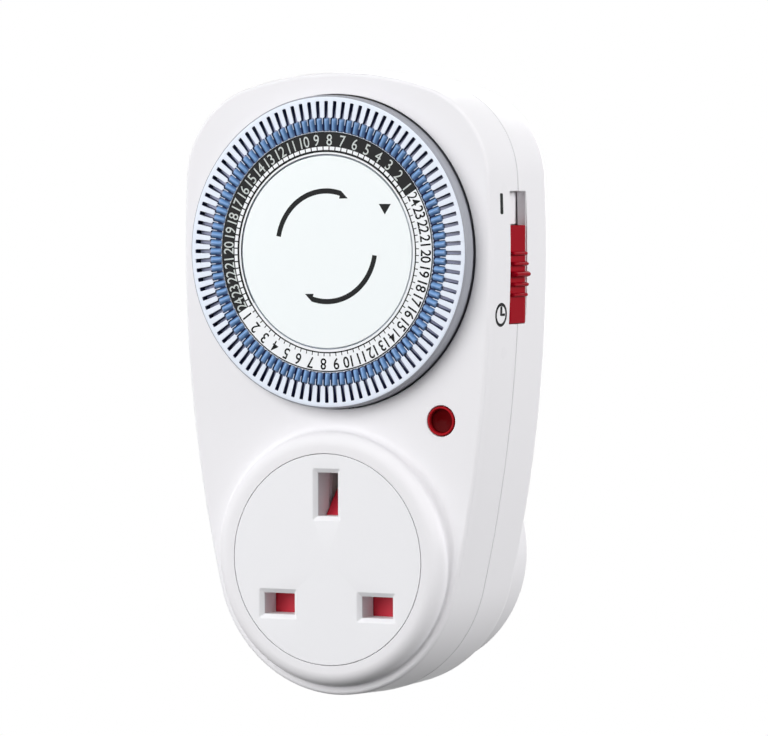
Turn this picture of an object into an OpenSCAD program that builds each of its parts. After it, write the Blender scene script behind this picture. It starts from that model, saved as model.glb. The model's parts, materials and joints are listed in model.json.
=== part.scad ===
// Plug-in timer switch with a day dial, a pass-through socket and a three-pin plug.
// X is the width, Y runs from the front to the wall and Z is up.
// The origin is the centre of the face that sits against the wall outlet.

/* [Housing] */
// Half of the housing's width at its widest line
half_width = 34.7; // [34:0.1:38]
// Height of the widest line above the socket's centre
widest_z = 62; // [54:1:66]
// Radius of the round bottom end
bottom_r = 27.4; // [27:0.1:29]
// Height of the top above the socket's centre
top_z = 97; // [96.5:0.5:104]
// Radius of the shallow dome across the top
top_r = 70; // [60:1:100]
// Radius of the two top corners
corner_r = 19.5; // [17:0.5:22]
// Depth of the front shell, from its front plane to the parting line
front_depth = 12; // [11.5:0.5:15]
// Depth of the rear shell, from the parting line to its back plane
rear_depth = 15.9; // [15:0.1:20]
// Wall thickness of both shells
wall = 2; // [1.6:0.1:2.4]
// Rounding of the front edge
front_round = 0.8; // [0.6:0.1:1.4]
// Rounding of the rear edge
rear_round = 3.6; // [3:0.2:6]
// How far the side walls lean out towards the parting line
draft = 0.4; // [0:0.1:0.6]
// Height of the two lower screws above the socket's centre
low_screw_z = 18.5; // [17:0.5:20]
// Distance of the lower screws from the side
low_screw_in = 5.3; // [5:0.1:6]

/* [Plug] */
// Radius of the round plug body on the back
plug_r = 25; // [24:0.5:26]
// How far the plug body stands out of the back plane
plug_depth = 9; // [8:0.5:12]
// Thickness of the plug body's end plate
plug_plate = 3; // [2.5:0.25:4]
// Spacing of the live and neutral pins
pin_spacing = 22.2; // [21:0.1:23]
// Height of the earth pin above the live and neutral line
earth_rise = 22.2; // [21:0.1:23]
// Height of the live and neutral line below the socket's centre
pin_drop = 9.2; // [8.6:0.1:9.8]
// Width of the live and neutral pins
pin_w = 6.35; // [6:0.05:6.6]
// Thickness of all three pins
pin_t = 3.975; // [3.8:0.025:4.1]
// Height of the earth pin's section
earth_h = 7.925; // [7.6:0.025:8.1]
// Length of the live and neutral pins in front of the plug face
pin_len = 17.7; // [17:0.1:18.5]
// Length of the earth pin in front of the plug face
earth_len = 22.7; // [22:0.1:23.5]
// Length of the insulating sleeves outside the plug face
sleeve_len = 9.2; // [8:0.1:10]

/* [Socket] */
// Radius of the socket's face plate
socket_r = 21.1; // [20.8:0.1:21.6]
// How far the socket face stands out of the front plane
socket_stand = 3.8; // [3:0.1:4.5]
// Radius of the collar's foot on the front plane
collar_r = 25.5; // [25:0.1:26]
// Width of the live and neutral apertures
aperture_w = 7.05; // [6.8:0.05:7.3]
// Height of the live and neutral apertures
aperture_h = 4.4; // [4.3:0.05:4.6]
// Width of the earth aperture
earth_slot_w = 4.6; // [4.4:0.05:4.8]
// Height of the earth aperture
earth_slot_h = 8.8; // [8.6:0.05:9.1]
// Width of the bevel around each aperture
bevel = 1.1; // [0.6:0.1:1.4]
// Depth from the socket face to the shutter
shutter_depth = 5.4; // [5:0.1:6]
// Thickness of the shutter
shutter_t = 2; // [1.8:0.1:2.2]
// Travel of the shutter, from closed to open
shutter_travel = 5.2; // [5.1:0.1:5.6]

/* [Dial] */
// Height of the dial's centre above the socket's centre
dial_z = 61.3; // [60.9:0.1:61.7]
// Radius of the dial
dial_r = 31.2; // [31:0.1:31.4]
// How far the dial stands out of the front plane
dial_stand = 3.6; // [3:0.1:4]
// Width of the plain rim outside the tappet slots
rim_w = 1.2; // [1.1:0.05:1.5]
// Radial length of the tappet slots
slot_len = 5.8; // [5.6:0.05:6]
// Width of the printed number ring
number_w = 4.5; // [4:0.05:5]
// Width of the narrow outer part of a tappet slot
slot_w = 0.66; // [0.6:0.02:0.72]
// Number of tappets around the dial
tappet_count = 96; // [72:24:96]
// Travel of a tappet from out to in
tappet_travel = 2.5; // [2:0.1:2.6]
// Thickness of a tappet's fin
fin_t = 0.54; // [0.48:0.02:0.56]
// Width of a tappet's head
head_w = 1.16; // [1:0.02:1.18]
// Radial length of a tappet's head
head_len = 2.9; // [2.6:0.1:3]
// Width of a tappet's head pocket beside the head
pocket_gap = 0.07; // [0.05:0.01:0.1]
// Depth from the dial face to the movement plate
movement_depth = 10.8; // [10.8:0.1:11.2]

/* [Mode slider] */
// Height of the slot's lower end above the socket's centre
track_z = 47; // [46.5:0.1:47.5]
// Length of the slot
track_len = 26.3; // [25:0.1:27]
// Width of the slot
track_w = 7.1; // [6.6:0.1:7.6]
// Length of the slider's grip
grip_len = 19.5; // [19:0.1:20]

/* [Lamp] */
// Distance of the lamp from the housing's side
lamp_in = 9; // [8.65:0.05:9.4]
// Height of the lamp above the socket's centre
lamp_z = 28; // [27.8:0.1:28.4]
// Radius of the lamp's lens
lens_r = 3; // [2.8:0.1:3.4]

/* [Movement] */
// Teeth on every pinion
pinion_teeth = 12; // [12:1:12]
// Teeth on the drive gear under the dial
drive_teeth = 32; // [30:1:32]
// Teeth on the second wheel
wheel_2_teeth = 38; // [34:2:38]
// Teeth on the first wheel
wheel_1_teeth = 24; // [22:1:24]
// Tooth module of the drive gear
drive_module = 0.6; // [0.55:0.01:0.6]
// Radius of the post that the dial turns on
post_r = 4; // [3.6:0.1:4]
// Radius of the motor's can
motor_r = 14.5; // [13:0.5:15]
// Radius of the motor's rotor
rotor_r = 7; // [6:0.5:7.5]

/* [Hidden] */
$fn = 96;
fit_gap = 0.05;
slide_gap = 0.1;
seam_gap = 0.15;
clear_gap = 0.3;
thin = 0.01;

// Stations along Y, from the wall to the front
back_y = -plug_depth;
parting_y = back_y - rear_depth;
front_y = parting_y - front_depth;
socket_y = front_y - socket_stand;
dial_y = front_y - dial_stand;
inner_back_y = back_y - wall;
inner_front_y = front_y + wall;

// The outline's arcs touch each other: bottom, long side, corner and top dome
side_r = (pow(half_width, 2) + pow(widest_z, 2) - pow(bottom_r, 2)) / (2 * (half_width - bottom_r));
side_centre = [half_width - side_r, widest_z];
top_centre = [0, top_z - top_r];
corner_centre = circles_meet(top_centre, top_r - corner_r, side_centre, side_r - corner_r);
side_start = heading(side_centre, [0, 0]);
side_end = heading(side_centre, corner_centre);
corner_end = heading(top_centre, corner_centre);

// Plug and socket positions
pin_line_z = -pin_drop;
earth_z = pin_line_z + earth_rise;
pin_x = pin_spacing / 2;
pin_shank = [pin_w - 1.2, pin_t - 1.1];
earth_shank = [pin_t - 1.1, earth_h - 1.2];
flange_t = 1.2;
clamp_t = 2;
pin_back_y = -(plug_plate + flange_t + clamp_t + 3.3);

// Shutter, contact carrier and contacts
shutter_y = socket_y + shutter_depth;
shutter_front_y = shutter_y + 0.2;
shutter_back_y = shutter_front_y + shutter_t;
carrier_y = shutter_back_y + 0.2;
carrier_back_y = carrier_y + 1.6;
blade_half = pin_x + aperture_w / 2 + 0.4;
blade_margin = 0.5;
blade_low = pin_line_z - aperture_h / 2 - blade_margin;
blade_high = pin_line_z + aperture_h / 2 + blade_margin;
tongue_half = 3;
ramp_low = earth_z - earth_slot_h / 2 + 0.3;
ramp_high = ramp_low + shutter_travel;
ramp_front_y = socket_y + 4.1;
ramp_back_y = ramp_front_y + 0.9 * shutter_travel;
ramp_half = earth_slot_w / 2 - 0.2;
ramp_base = 1;
track_spare = 0.4;
spring_low = pin_line_z + 6.2;
spring_high = ramp_low - 2.9;
tube_wall = 1.2;
contact_t = 0.8;
contact_gap = pin_t + 0.1;
tube_room = contact_gap + 2 * contact_t + 0.4;
contact_back_y = socket_y + pin_len + 0.7;
earth_back_y = socket_y + earth_len + 0.7;

// Dial
slot_r = dial_r - rim_w;
slot_inner_r = slot_r - slot_len;
number_r = slot_inner_r - 0.3;
recess_r = number_r - number_w;
cap_r = recess_r - 0.25;
slot_pitch = 360 / tappet_count;
groups = 12;
group_size = tappet_count / groups;
plate_y = dial_y + movement_depth;
plate_t = 1.6;
plate_back_y = plate_y + plate_t;
dial_plate = 2;
foil_t = 0.2;
cap_t = 1.1;
cap_recess = cap_t + 0.2;
tappet_inner_r = slot_inner_r + 0.15;
fin_outer_r = slot_r - 0.45;
pocket_w = head_w + 2 * pocket_gap;
pocket_outer_r = tappet_inner_r + head_len + 0.15;
inner_skirt = [slot_inner_r - 2.6, slot_inner_r - 0.2];
skirt_back_y = plate_y - 3.2;
outer_skirt = 1;
guide_y = skirt_back_y - 2.2;
guide_t = 1;
head_front_y = dial_y - 0.4;
head_back_y = dial_y + 1.9;
tappet_back_y = plate_y - clear_gap - tappet_travel;
opening_r = dial_r + 0.5;

// Gear train: the drive gear and its two wheels, and where their arbors stand
pressure_angle = 25;
drive_y = [plate_y - 5.4, plate_y - 3.3];
wheel_2_y = [plate_y - 2.6, plate_y - 0.8];
wheel_1_y = [plate_y - 7.7, plate_y - 5.9];
hub_r = 6;
hub_collar_r = 7.8;
mesh_gap = 0.03;
tooth_rise = 0.95;
pin_r = 0.75;
wheel_2_reach = pitch_r(drive_teeth, drive_module) + pitch_r(pinion_teeth, drive_module) + mesh_gap;
wheel_clear = 1.02;
wheel_module = (inner_skirt[0] - hub_collar_r - 2 * wheel_clear) / (wheel_1_teeth + 2 * tooth_rise);
wheel_1_reach = (inner_skirt[0] + hub_collar_r) / 2;
rotor_reach = wheel_1_reach - 0.65;
wheel_gap = pitch_r(wheel_2_teeth, wheel_module) + pitch_r(pinion_teeth, wheel_module) + mesh_gap;
rotor_gap = pitch_r(wheel_1_teeth, wheel_module) + pitch_r(pinion_teeth, wheel_module) + mesh_gap;
wheel_2_angle = 150;
wheel_1_angle = wheel_2_angle - corner_angle(wheel_2_reach, wheel_1_reach, wheel_gap);
rotor_angle = wheel_1_angle - corner_angle(wheel_1_reach, rotor_reach, rotor_gap);
dial_centre = [0, dial_z];
wheel_2_at = dial_centre + wheel_2_reach * [cos(wheel_2_angle), sin(wheel_2_angle)];
wheel_1_at = dial_centre + wheel_1_reach * [cos(wheel_1_angle), sin(wheel_1_angle)];
rotor_at = dial_centre + rotor_reach * [cos(rotor_angle), sin(rotor_angle)];
to_wheel_2 = heading(dial_centre, wheel_2_at);
to_wheel_1 = heading(wheel_2_at, wheel_1_at);
to_rotor = heading(wheel_1_at, rotor_at);
pinion_2_turn = mate_turn(0, drive_teeth, to_wheel_2, pinion_teeth);
pinion_1_turn = mate_turn(0, wheel_2_teeth, to_wheel_1, pinion_teeth);
rotor_turn = mate_turn(0, wheel_1_teeth, to_rotor, pinion_teeth);

// Motor, behind the movement plate
motor_wall = 0.8;
motor_back_y = inner_back_y - 1.6;
motor_ear_reach = motor_r + 2.3;
motor_ears = [-45, 135];

// Mode slider, in the right side wall
track_pad_x = half_width - wall - 0.2;
pocket_half = track_w / 2 + 1.8;
flange_x = [track_pad_x - 1.5, track_pad_x - slide_gap];
flange_half = track_w / 2 + 1.5;
slider_travel = track_len - grip_len - 2 * slide_gap;
grip_z = track_z + slide_gap;
grip_face_x = half_width + 0.05;
guide_x = [flange_x[0] - 1.3, flange_x[0] - slide_gap];
guide_z = [track_z - 13, track_z + track_len + 3.7];
guide_front_y = plate_y;
cam_z = [track_z - 10.4, track_z - 7.4];

// Follower lever, which the tappets and the slider's cam push back
lever_y = [plate_back_y + 0.2, plate_back_y + 1.6];
lever_axis = [(lever_y[0] + lever_y[1]) / 2, low_screw_z + 7.5];
lever_barrel_r = 2.2;
lever_pin_r = 1;
nose_r = tappet_inner_r + 2.15;
lever_w = 5.4;
lever_x = [for (w = [lever_w, 0]) side_x(lever_axis[1]) - wall - 2.15 - w];
lever_mid_x = lever_x[1] - lever_w / 2;
// The nose stands half-way between two tappets, on an arm of the lever
nose_steps = max(4, floor(acos(min(1, (lever_x[1] - 1.5) / nose_r)) / slot_pitch));
nose_angle = -(nose_steps + 0.5) * slot_pitch;
nose_at = dial_centre + nose_r * [cos(nose_angle), sin(nose_angle)];
arm_x = [min(lever_x[0], nose_at[0] - 2.7), max(lever_x[1], nose_at[0] + 1.3)];
switch_z = [lever_axis[1] + 5, lever_axis[1] + 23];
lever_spring_at = [lever_mid_x, switch_z[1] + 4.5];
lever_top = max(nose_at[1] + 2.5, lever_spring_at[1] + 3);
cam_x = lever_x[1] - 1.6;
nose_w = 0.66;
nose_y = tappet_back_y + 0.4;
ramp_rise = 1.7;
lever_ramp_z = [cam_z[1] + 0.9, cam_z[1] + 6.4];
ear_t = 1.8;

// Switch, behind the lever
switch_x = [lever_x[0] - 4, lever_x[1]];
switch_y = [lever_y[1] + 2.2, inner_back_y - 1.4];
plunger_at = [lever_mid_x, lever_axis[1] + 9];
plunger_travel = 0.7;
terminal_x = [switch_x[0] - 4, switch_x[0]];
terminal_w = 4;
terminal_t = 0.8;
terminal_1_z = switch_z[0] + 4;
terminal_2_z = switch_z[1] - 4;
terminal_2_y = contact_back_y + contact_t + terminal_t;
terminal_1_y = terminal_2_y + 2 * terminal_t;
switched_y = contact_back_y + contact_t;
neutral_wire_y = contact_back_y + 5.6;

// Screws
screw_r = 1.25;
screw_head = [2.3, 1.6];
boss_r = 2.3;
screw_reach = opening_r + boss_r + 0.3;
screw_angle = heading(dial_centre, corner_centre);
top_screw = dial_centre + screw_reach * [cos(screw_angle), sin(screw_angle)];
low_screw = [side_x(low_screw_z) - low_screw_in, low_screw_z];
screw_places = [for (s = [-1, 1]) each [[s * top_screw[0], top_screw[1]], [s * low_screw[0], low_screw[1]]]];
column_r = 3.9;
head_seat_y = back_y - 9;
column_front_y = [plate_back_y, parting_y];
plate_posts = [[-22.5, dial_z - 26.7], [12, dial_z - 32.2]];
small_screw_r = 0.85;

// Lamp, its resistor and the wires
lamp_x = side_x(lamp_z) - lamp_in;
lamp_y = [front_y + 1.6, plate_y - 1.4];
resistor_at = [for (x = [9.3, 3.3]) [lamp_x - x, plate_y - 0.5, lamp_z - 4]];
resistor_r = 1.1;
wire_r = 0.55;
lead_back_y = motor_back_y + 0.7;

function pitch_r(teeth, size) = teeth * size / 2;
function heading(from, to) = atan2(to[1] - from[1], to[0] - from[0]);
function corner_angle(a, b, opposite) = acos((a * a + b * b - opposite * opposite) / (2 * a * b));
function side_x(z) = side_centre[0] + sqrt(pow(side_r, 2) - pow(z - widest_z, 2));

// The meeting point, on the right, of two circles
function circles_meet(c1, r1, c2, r2) =
    let (span = norm(c2 - c1), along = (r1 * r1 - r2 * r2 + span * span) / (2 * span),
         off = sqrt(r1 * r1 - along * along), u = (c2 - c1) / span)
    c1 + along * u + off * [u[1], -u[0]];

function arc(centre, r, from, to, steps) =
    [for (i = [0 : steps]) let (a = from + (to - from) * i / steps) centre + r * [cos(a), sin(a)]];

// Right half of the housing's outline, inset evenly by t, from the bottom to the top
function half_outline(t) = concat(
    arc([0, 0], bottom_r - t, -90, side_start, 12),
    [for (p = arc(side_centre, side_r - t, side_start, side_end, 12)) if (p[1] > 1) p],
    arc(corner_centre, corner_r - t, side_end, corner_end, 9),
    [for (i = [1 : 5]) arc(top_centre, top_r - t, corner_end, 90, 5)[i]]);

function outline(t) =
    let (half = half_outline(t))
    concat(half, [for (i = [len(half) - 2 : -1 : 1]) [-half[i][0], half[i][1]]]);

// Turn of a gear whose gap meets a tooth of a mate that stands at the given turn
function mate_turn(turn, teeth, direction, mate_teeth) =
    let (phase = (direction - turn) * teeth / 360)
    direction + 180 - (0.5 - phase) * 360 / mate_teeth;

function involute(angle) = tan(angle) * 180 / PI - angle;

function half_tooth(r, teeth, size) =
    let (base = pitch_r(teeth, size) * cos(pressure_angle))
    90 / teeth * 0.9 + involute(pressure_angle) - (r > base ? involute(acos(base / r)) : 0);

// One gear's outline: an involute flank up and down each tooth
function gear_points(teeth, size) =
    let (p = pitch_r(teeth, size), base = p * cos(pressure_angle), root = p - 1.2 * size,
         low = max(root, base), tip = p + size * tooth_rise,
         rs = concat(root < base ? [root] : [], [for (i = [0 : 4]) low + (tip - low) * i / 4]))
    [for (k = [0 : teeth - 1]) each concat(
        [for (i = [0 : len(rs) - 1])
            let (a = k * 360 / teeth - half_tooth(rs[i], teeth, size)) rs[i] * [cos(a), sin(a)]],
        [for (i = [len(rs) - 1 : -1 : 0])
            let (a = k * 360 / teeth + half_tooth(rs[i], teeth, size)) rs[i] * [cos(a), sin(a)]])];

// A flat sketch in X and Z, raised between two stations along Y
module upright(y0, y1) {
    translate([0, y1, 0]) rotate([90, 0, 0]) linear_extrude(y1 - y0) children();
}

// A round bar along Y
module bar(at, r, y0, y1) {
    translate([at[0], y1, at[1]]) rotate([90, 0, 0]) cylinder(r = r, h = y1 - y0);
}

// A turned ring about an axis along Y
module ring(at, r0, r1, y0, y1) {
    difference() {
        bar(at, r1, y0, y1);
        bar(at, r0, y0 - 1, y1 + 1);
    }
}

// A box between two corners, given as ranges along each axis
module block(xs, ys, zs) {
    translate([xs[0], ys[0], zs[0]]) cube([xs[1] - xs[0], ys[1] - ys[0], zs[1] - zs[0]]);
}

// A box whose sides are centred on a point in X and Z
module bar_box(at, size, y0, y1) {
    block([at[0] - size[0] / 2, at[0] + size[0] / 2], [y0, y1], [at[1] - size[1] / 2, at[1] + size[1] / 2]);
}

module slab(inset, y) { upright(y, y + thin) polygon(outline(inset)); }

module gear(teeth, size, y0, y1, turn) {
    upright(y0, y1) rotate(turn) polygon(gear_points(teeth, size));
}

// A coil spring along Z from the origin, as one swept tube
module coil(mean_r, wire, length, turns) {
    steps = 14;
    sides = 6;
    count = turns * steps;
    points = [for (i = [0 : count], j = [0 : sides - 1])
        let (a = i * 360 / steps, b = j * 360 / sides, r = mean_r + wire * cos(b))
        [r * cos(a), r * sin(a), wire + (length - 2 * wire) * i / count + wire * sin(b)]];
    quads = [for (i = [0 : count - 1], j = [0 : sides - 1])
        let (n = (j + 1) % sides) [i * sides + j, i * sides + n, (i + 1) * sides + n, (i + 1) * sides + j]];
    caps = [[for (j = [sides - 1 : -1 : 0]) j], [for (j = [0 : sides - 1]) count * sides + j]];
    polyhedron(points, concat([for (q = quads) [q[0], q[3], q[2], q[1]]],
                              [for (c = caps) [for (i = [len(c) - 1 : -1 : 0]) c[i]]]));
}

// A wire as straight rods with a ball at each bend
module wire(points) {
    for (i = [0 : len(points) - 2])
        let (d = points[i + 1] - points[i], flat = norm([d[0], d[1]]))
        translate(points[i]) rotate([0, atan2(flat, d[2]), atan2(d[1], d[0])])
            cylinder(r = wire_r, h = norm(d), $fn = 16);
    for (i = [1 : len(points) - 2]) translate(points[i]) sphere(wire_r * 1.25, $fn = 16);
}

// ---- Shells ----

module front_form() {
    hull() {
        for (a = [0 : 30 : 90])
            slab(front_round * (1 - sin(a)), front_y + front_round * (1 - cos(a)));
        slab(-draft, parting_y - thin);
    }
}

module front_cavity() {
    hull() {
        slab(wall, inner_front_y);
        slab(wall - draft, parting_y);
    }
}

module rear_form() {
    hull() {
        slab(-draft, parting_y);
        slab(0, back_y - rear_round);
        for (a = [30 : 30 : 90])
            slab(rear_round * (1 - cos(a)), back_y - rear_round * (1 - sin(a)) - thin);
    }
}

module rear_cavity() {
    hull() {
        slab(wall - draft, parting_y - thin);
        slab(wall, back_y - rear_round);
        slab(wall + rear_round * 0.35, inner_back_y - rear_round * 0.2);
        slab(wall + rear_round * 0.8, inner_back_y - thin);
    }
}

// The collar around the socket face, with a round shoulder
module socket_collar() {
    shoulder = collar_r - socket_r - 1.6;
    rotate([90, 0, 0]) rotate_extrude() polygon(concat(
        [[socket_r + seam_gap, -carrier_back_y], [socket_r + seam_gap, -socket_y]],
        [for (a = [90 : -15 : 0])
            [collar_r - shoulder * (1 - cos(a)), -front_y + socket_stand * sin(a)]],
        [[collar_r, -inner_front_y + 0.5], [socket_r + wall, -inner_front_y],
         [socket_r + wall, -carrier_back_y]]));
}

// The recess inside the wall that the slider's flange runs in
module slider_pocket(y0, y1) {
    block([guide_x[1], track_pad_x], [y0, y1], [cam_z[0] - 0.5, track_z + track_len + 0.6]);
}

module side_slot(y0, y1) {
    block([track_pad_x - 3, half_width + 2], [y0, y1], [track_z, track_z + track_len]);
}

module front_housing() color("white") difference() {
    union() {
        difference() {
            front_form();
            front_cavity();
            bar([0, 0], socket_r + 1, front_y - 1, inner_front_y + 1);
            bar(dial_centre, opening_r, front_y - 1, inner_front_y + 1);
        }
        socket_collar();
        for (p = screw_places)
            bar(p, boss_r, inner_front_y - 0.5, p[1] > dial_z ? plate_y : parting_y);
        for (p = plate_posts) bar(p, 2.4, inner_front_y - 0.5, plate_y);
    }
    side_slot(parting_y - track_w / 2, parting_y + 1);
    slider_pocket(parting_y - pocket_half, parting_y + 1);
    block([-blade_half - track_spare, blade_half + track_spare], [shutter_y, carrier_y],
          [blade_low - shutter_travel - track_spare, pin_line_z]);
    bar([lamp_x, lamp_z], lens_r + slide_gap, front_y - 1, inner_front_y + 1);
    for (p = screw_places) bar(p, screw_r + fit_gap, inner_front_y + 0.8, parting_y + 1);
    for (p = plate_posts) bar(p, small_screw_r + fit_gap, inner_front_y + 0.8, plate_y + 1);
}

module rear_housing() color("white") difference() {
    union() {
        difference() {
            union() {
                rear_form();
                plug_shell();
            }
            rear_cavity();
            bar([0, 0], plug_r - wall, inner_back_y - 1, -plug_plate);
        }
        intersection() {
            rear_form();
            for (p = screw_places)
                bar(p, column_r, p[1] > dial_z ? parting_y - 5 : parting_y, back_y);
        }
        intersection() {
            upright(plate_back_y, parting_y + 1) polygon(outline(wall + seam_gap));
            for (p = screw_places) if (p[1] > dial_z) bar(p, boss_r, plate_back_y, parting_y + 1);
        }
        slider_guide();
        lever_ears();
        bar(lever_spring_at, 1.2, inner_back_y - 3, inner_back_y + 0.5);
    }
    side_slot(parting_y - 1, parting_y + track_w / 2);
    slider_pocket(parting_y - 1, parting_y + pocket_half);
    for (p = screw_places) {
        bar(p, screw_r + fit_gap, plate_back_y - 1, back_y);
        bar(p, screw_head[0] + 0.3, head_seat_y, back_y + 1);
    }
    for (x = [-pin_x, pin_x]) bar_box([x, pin_line_z], [pin_w, pin_t], -plug_plate - 1, 1);
    bar_box([0, earth_z], [pin_t, earth_h], -plug_plate - 1, 1);
    for (x = [-1, 1]) bar([x * clamp_screw_x, clamp_screw_z], small_screw_r + fit_gap, -plug_plate - 1, -0.8);
}

// The round plug body with a rounded end edge
module plug_shell() {
    edge = 1.5;
    rotate([90, 0, 0]) rotate_extrude() polygon(concat(
        [[0, 0]],
        [for (a = [-90 : 30 : 0]) [plug_r - edge + edge * cos(a), edge + edge * sin(a)]],
        [[plug_r, plug_depth + 1], [0, plug_depth + 1]]));
}

// The wall behind the slider, with a window for its cam
module slider_guide() {
    difference() {
        block(guide_x, [guide_front_y, inner_back_y + 0.5], guide_z);
        block([guide_x[0] - 1, guide_x[1] + 1], [guide_front_y - 1, plate_back_y + 1],
              [cam_z[0] - 0.6, cam_z[1] + slider_travel + 0.6]);
    }
}

// Two ears that hold the follower lever's pin
module lever_ears() {
    for (x = [lever_x[0] - 0.2 - ear_t, lever_x[1] + 0.2])
        difference() {
            block([x, x + ear_t], [lever_axis[0] - 2, inner_back_y + 0.5],
                  [lever_axis[1] - 2, lever_axis[1] + 2]);
            translate([x - 1, lever_axis[0], lever_axis[1]]) rotate([0, 90, 0])
                cylinder(r = lever_pin_r, h = ear_t + 2, $fn = 48);
        }
}

module housing_screws() color("silver") for (p = screw_places) {
    front = p[1] > dial_z ? inner_front_y + 1 : inner_front_y + 3;
    difference() {
        union() {
            bar(p, screw_r, front, head_seat_y);
            bar(p, screw_head[0], head_seat_y, head_seat_y + screw_head[1]);
        }
        for (turn = [0, 90]) translate([p[0], head_seat_y + 1.3, p[1]]) rotate([0, turn, 0])
            block([-1.6, 1.6], [0, 2], [-0.35, 0.35]);
    }
}

// ---- Socket ----

// A bevelled rectangular aperture through the face
module aperture(at, size) {
    bar_box(at, size, socket_y - 1, shutter_y + 1);
    hull() {
        bar_box(at, size, socket_y + bevel, socket_y + bevel + thin);
        bar_box(at, size + [2 * bevel, 2 * bevel], socket_y - thin, socket_y);
    }
}

module socket_face() color("whitesmoke") difference() {
    bar([0, 0], socket_r, socket_y, shutter_y);
    for (x = [-pin_x, pin_x]) aperture([x, pin_line_z], [aperture_w, aperture_h]);
    aperture([0, earth_z], [earth_slot_w, earth_slot_h]);
    block([-earth_slot_w / 2, earth_slot_w / 2], [ramp_front_y - clear_gap, shutter_y + 1],
          [ramp_low - ramp_base - shutter_travel - clear_gap, earth_z]);
}

module shutter() color("crimson") {
    difference() {
        union() {
            block([-blade_half, blade_half], [shutter_front_y, shutter_back_y], [blade_low, blade_high]);
            block([-tongue_half, tongue_half], [shutter_front_y, shutter_back_y], [blade_high - 1, ramp_low]);
        }
        block([-spring_half, spring_half], [shutter_front_y - 1, shutter_back_y + 1],
              [spring_low - 1.3, spring_high]);
    }
    translate([-ramp_half, 0, 0]) rotate([90, 0, 90]) linear_extrude(2 * ramp_half)
        polygon([[ramp_front_y, ramp_low - ramp_base], [ramp_front_y, ramp_low],
                 [ramp_back_y, ramp_high], [ramp_back_y, ramp_low - ramp_base]]);
}
spring_half = 1.5;
spring_mean_r = 0.76;
spring_wire = 0.16;

module shutter_spring() color("silver")
    translate([0, (shutter_front_y + shutter_back_y) / 2, spring_low])
        coil(spring_mean_r, spring_wire, spring_high - spring_low, 9);

// The moulding behind the socket face: shutter track, peg and contact tubes
module contact_carrier() color("gainsboro") {
    spare = track_spare;
    difference() {
        union() {
            bar([0, 0], socket_r, shutter_y, carrier_back_y);
            for (x = [-pin_x, pin_x]) bar_box([x, pin_line_z],
                [pin_w + 2 * tube_wall + 1, tube_room + 2 * tube_wall], carrier_y + 0.1, contact_back_y);
            bar_box([0, earth_z], [tube_room + 2 * tube_wall, earth_h + 2 * tube_wall + 1],
                    carrier_y + 0.1, earth_back_y);
        }
        block([-blade_half - spare, blade_half + spare], [shutter_y - 1, carrier_y],
              [blade_low - shutter_travel - spare, blade_high + spare]);
        block([-tongue_half - spare, tongue_half + spare], [shutter_y - 1, carrier_y],
              [pin_line_z, earth_z + earth_slot_h / 2]);
        block([-ramp_half - spare, ramp_half + spare], [shutter_y, ramp_back_y + spare],
              [ramp_low - ramp_base - shutter_travel - spare, earth_z]);
        for (x = [-pin_x, pin_x])
            bar_box([x, pin_line_z], [pin_w + 1, tube_room], carrier_y - 1, contact_back_y + 1);
        bar_box([0, earth_z], [tube_room, earth_h + 1], carrier_y - 1, earth_back_y + 1);
    }
    block([-1.2, 1.2], [shutter_front_y, carrier_y + 0.5], [spring_low - 1, spring_low]);
}

// A sprung clip: a base and two leaves that grip a pin
module clip(leaf_w, front, back) {
    block([-leaf_w / 2, leaf_w / 2], [back, back + contact_t],
          [-tube_room / 2 - tube_wall * 0.8, tube_room / 2 + tube_wall * 0.8]);
    for (s = [-1, 1])
        block([-leaf_w / 2, leaf_w / 2], [front, back],
              [s > 0 ? contact_gap / 2 : -contact_gap / 2 - contact_t,
               s > 0 ? contact_gap / 2 + contact_t : -contact_gap / 2]);
}

module live_contact() color("goldenrod")
    translate([pin_x, 0, pin_line_z]) clip(pin_w - 0.4, carrier_back_y + 0.5, contact_back_y);

module neutral_contact() color("goldenrod")
    translate([-pin_x, 0, pin_line_z]) clip(pin_w - 0.4, carrier_back_y + 0.5, contact_back_y);

module earth_contact() color("goldenrod")
    translate([0, 0, earth_z]) rotate([0, 90, 0]) clip(earth_h - 0.6, carrier_back_y + 2, earth_back_y);

// ---- Plug ----

// A pin with a narrow shank inside its sleeve and the wall, and a chamfered tip
module plug_pin(at, size, shank, length, neck_to) {
    tip = 1;
    bar_box(at, shank, pin_back_y, neck_to);
    bar_box(at, size, neck_to, length - tip);
    hull() {
        bar_box(at, size, length - tip - thin, length - tip);
        bar_box(at, size - [2 * tip, 2 * tip], length - thin, length);
    }
    bar_box(at, size + [1.4, 1.4], -plug_plate - flange_t, -plug_plate);
}

module live_pin() color("goldenrod")
    plug_pin([pin_x, pin_line_z], [pin_w, pin_t], pin_shank, pin_len, sleeve_len);
module neutral_pin() color("goldenrod")
    plug_pin([-pin_x, pin_line_z], [pin_w, pin_t], pin_shank, pin_len, sleeve_len);
module earth_pin() color("goldenrod")
    plug_pin([0, earth_z], [pin_t, earth_h], earth_shank, earth_len, -plug_plate);

module pin_sleeves() color("black") for (x = [-pin_x, pin_x]) difference() {
    bar_box([x, pin_line_z], [pin_w, pin_t], -plug_plate, sleeve_len);
    bar_box([x, pin_line_z], pin_shank, -plug_plate - 1, sleeve_len + 1);
}

clamp_screw_x = 16.2;
clamp_screw_z = 4;

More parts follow.
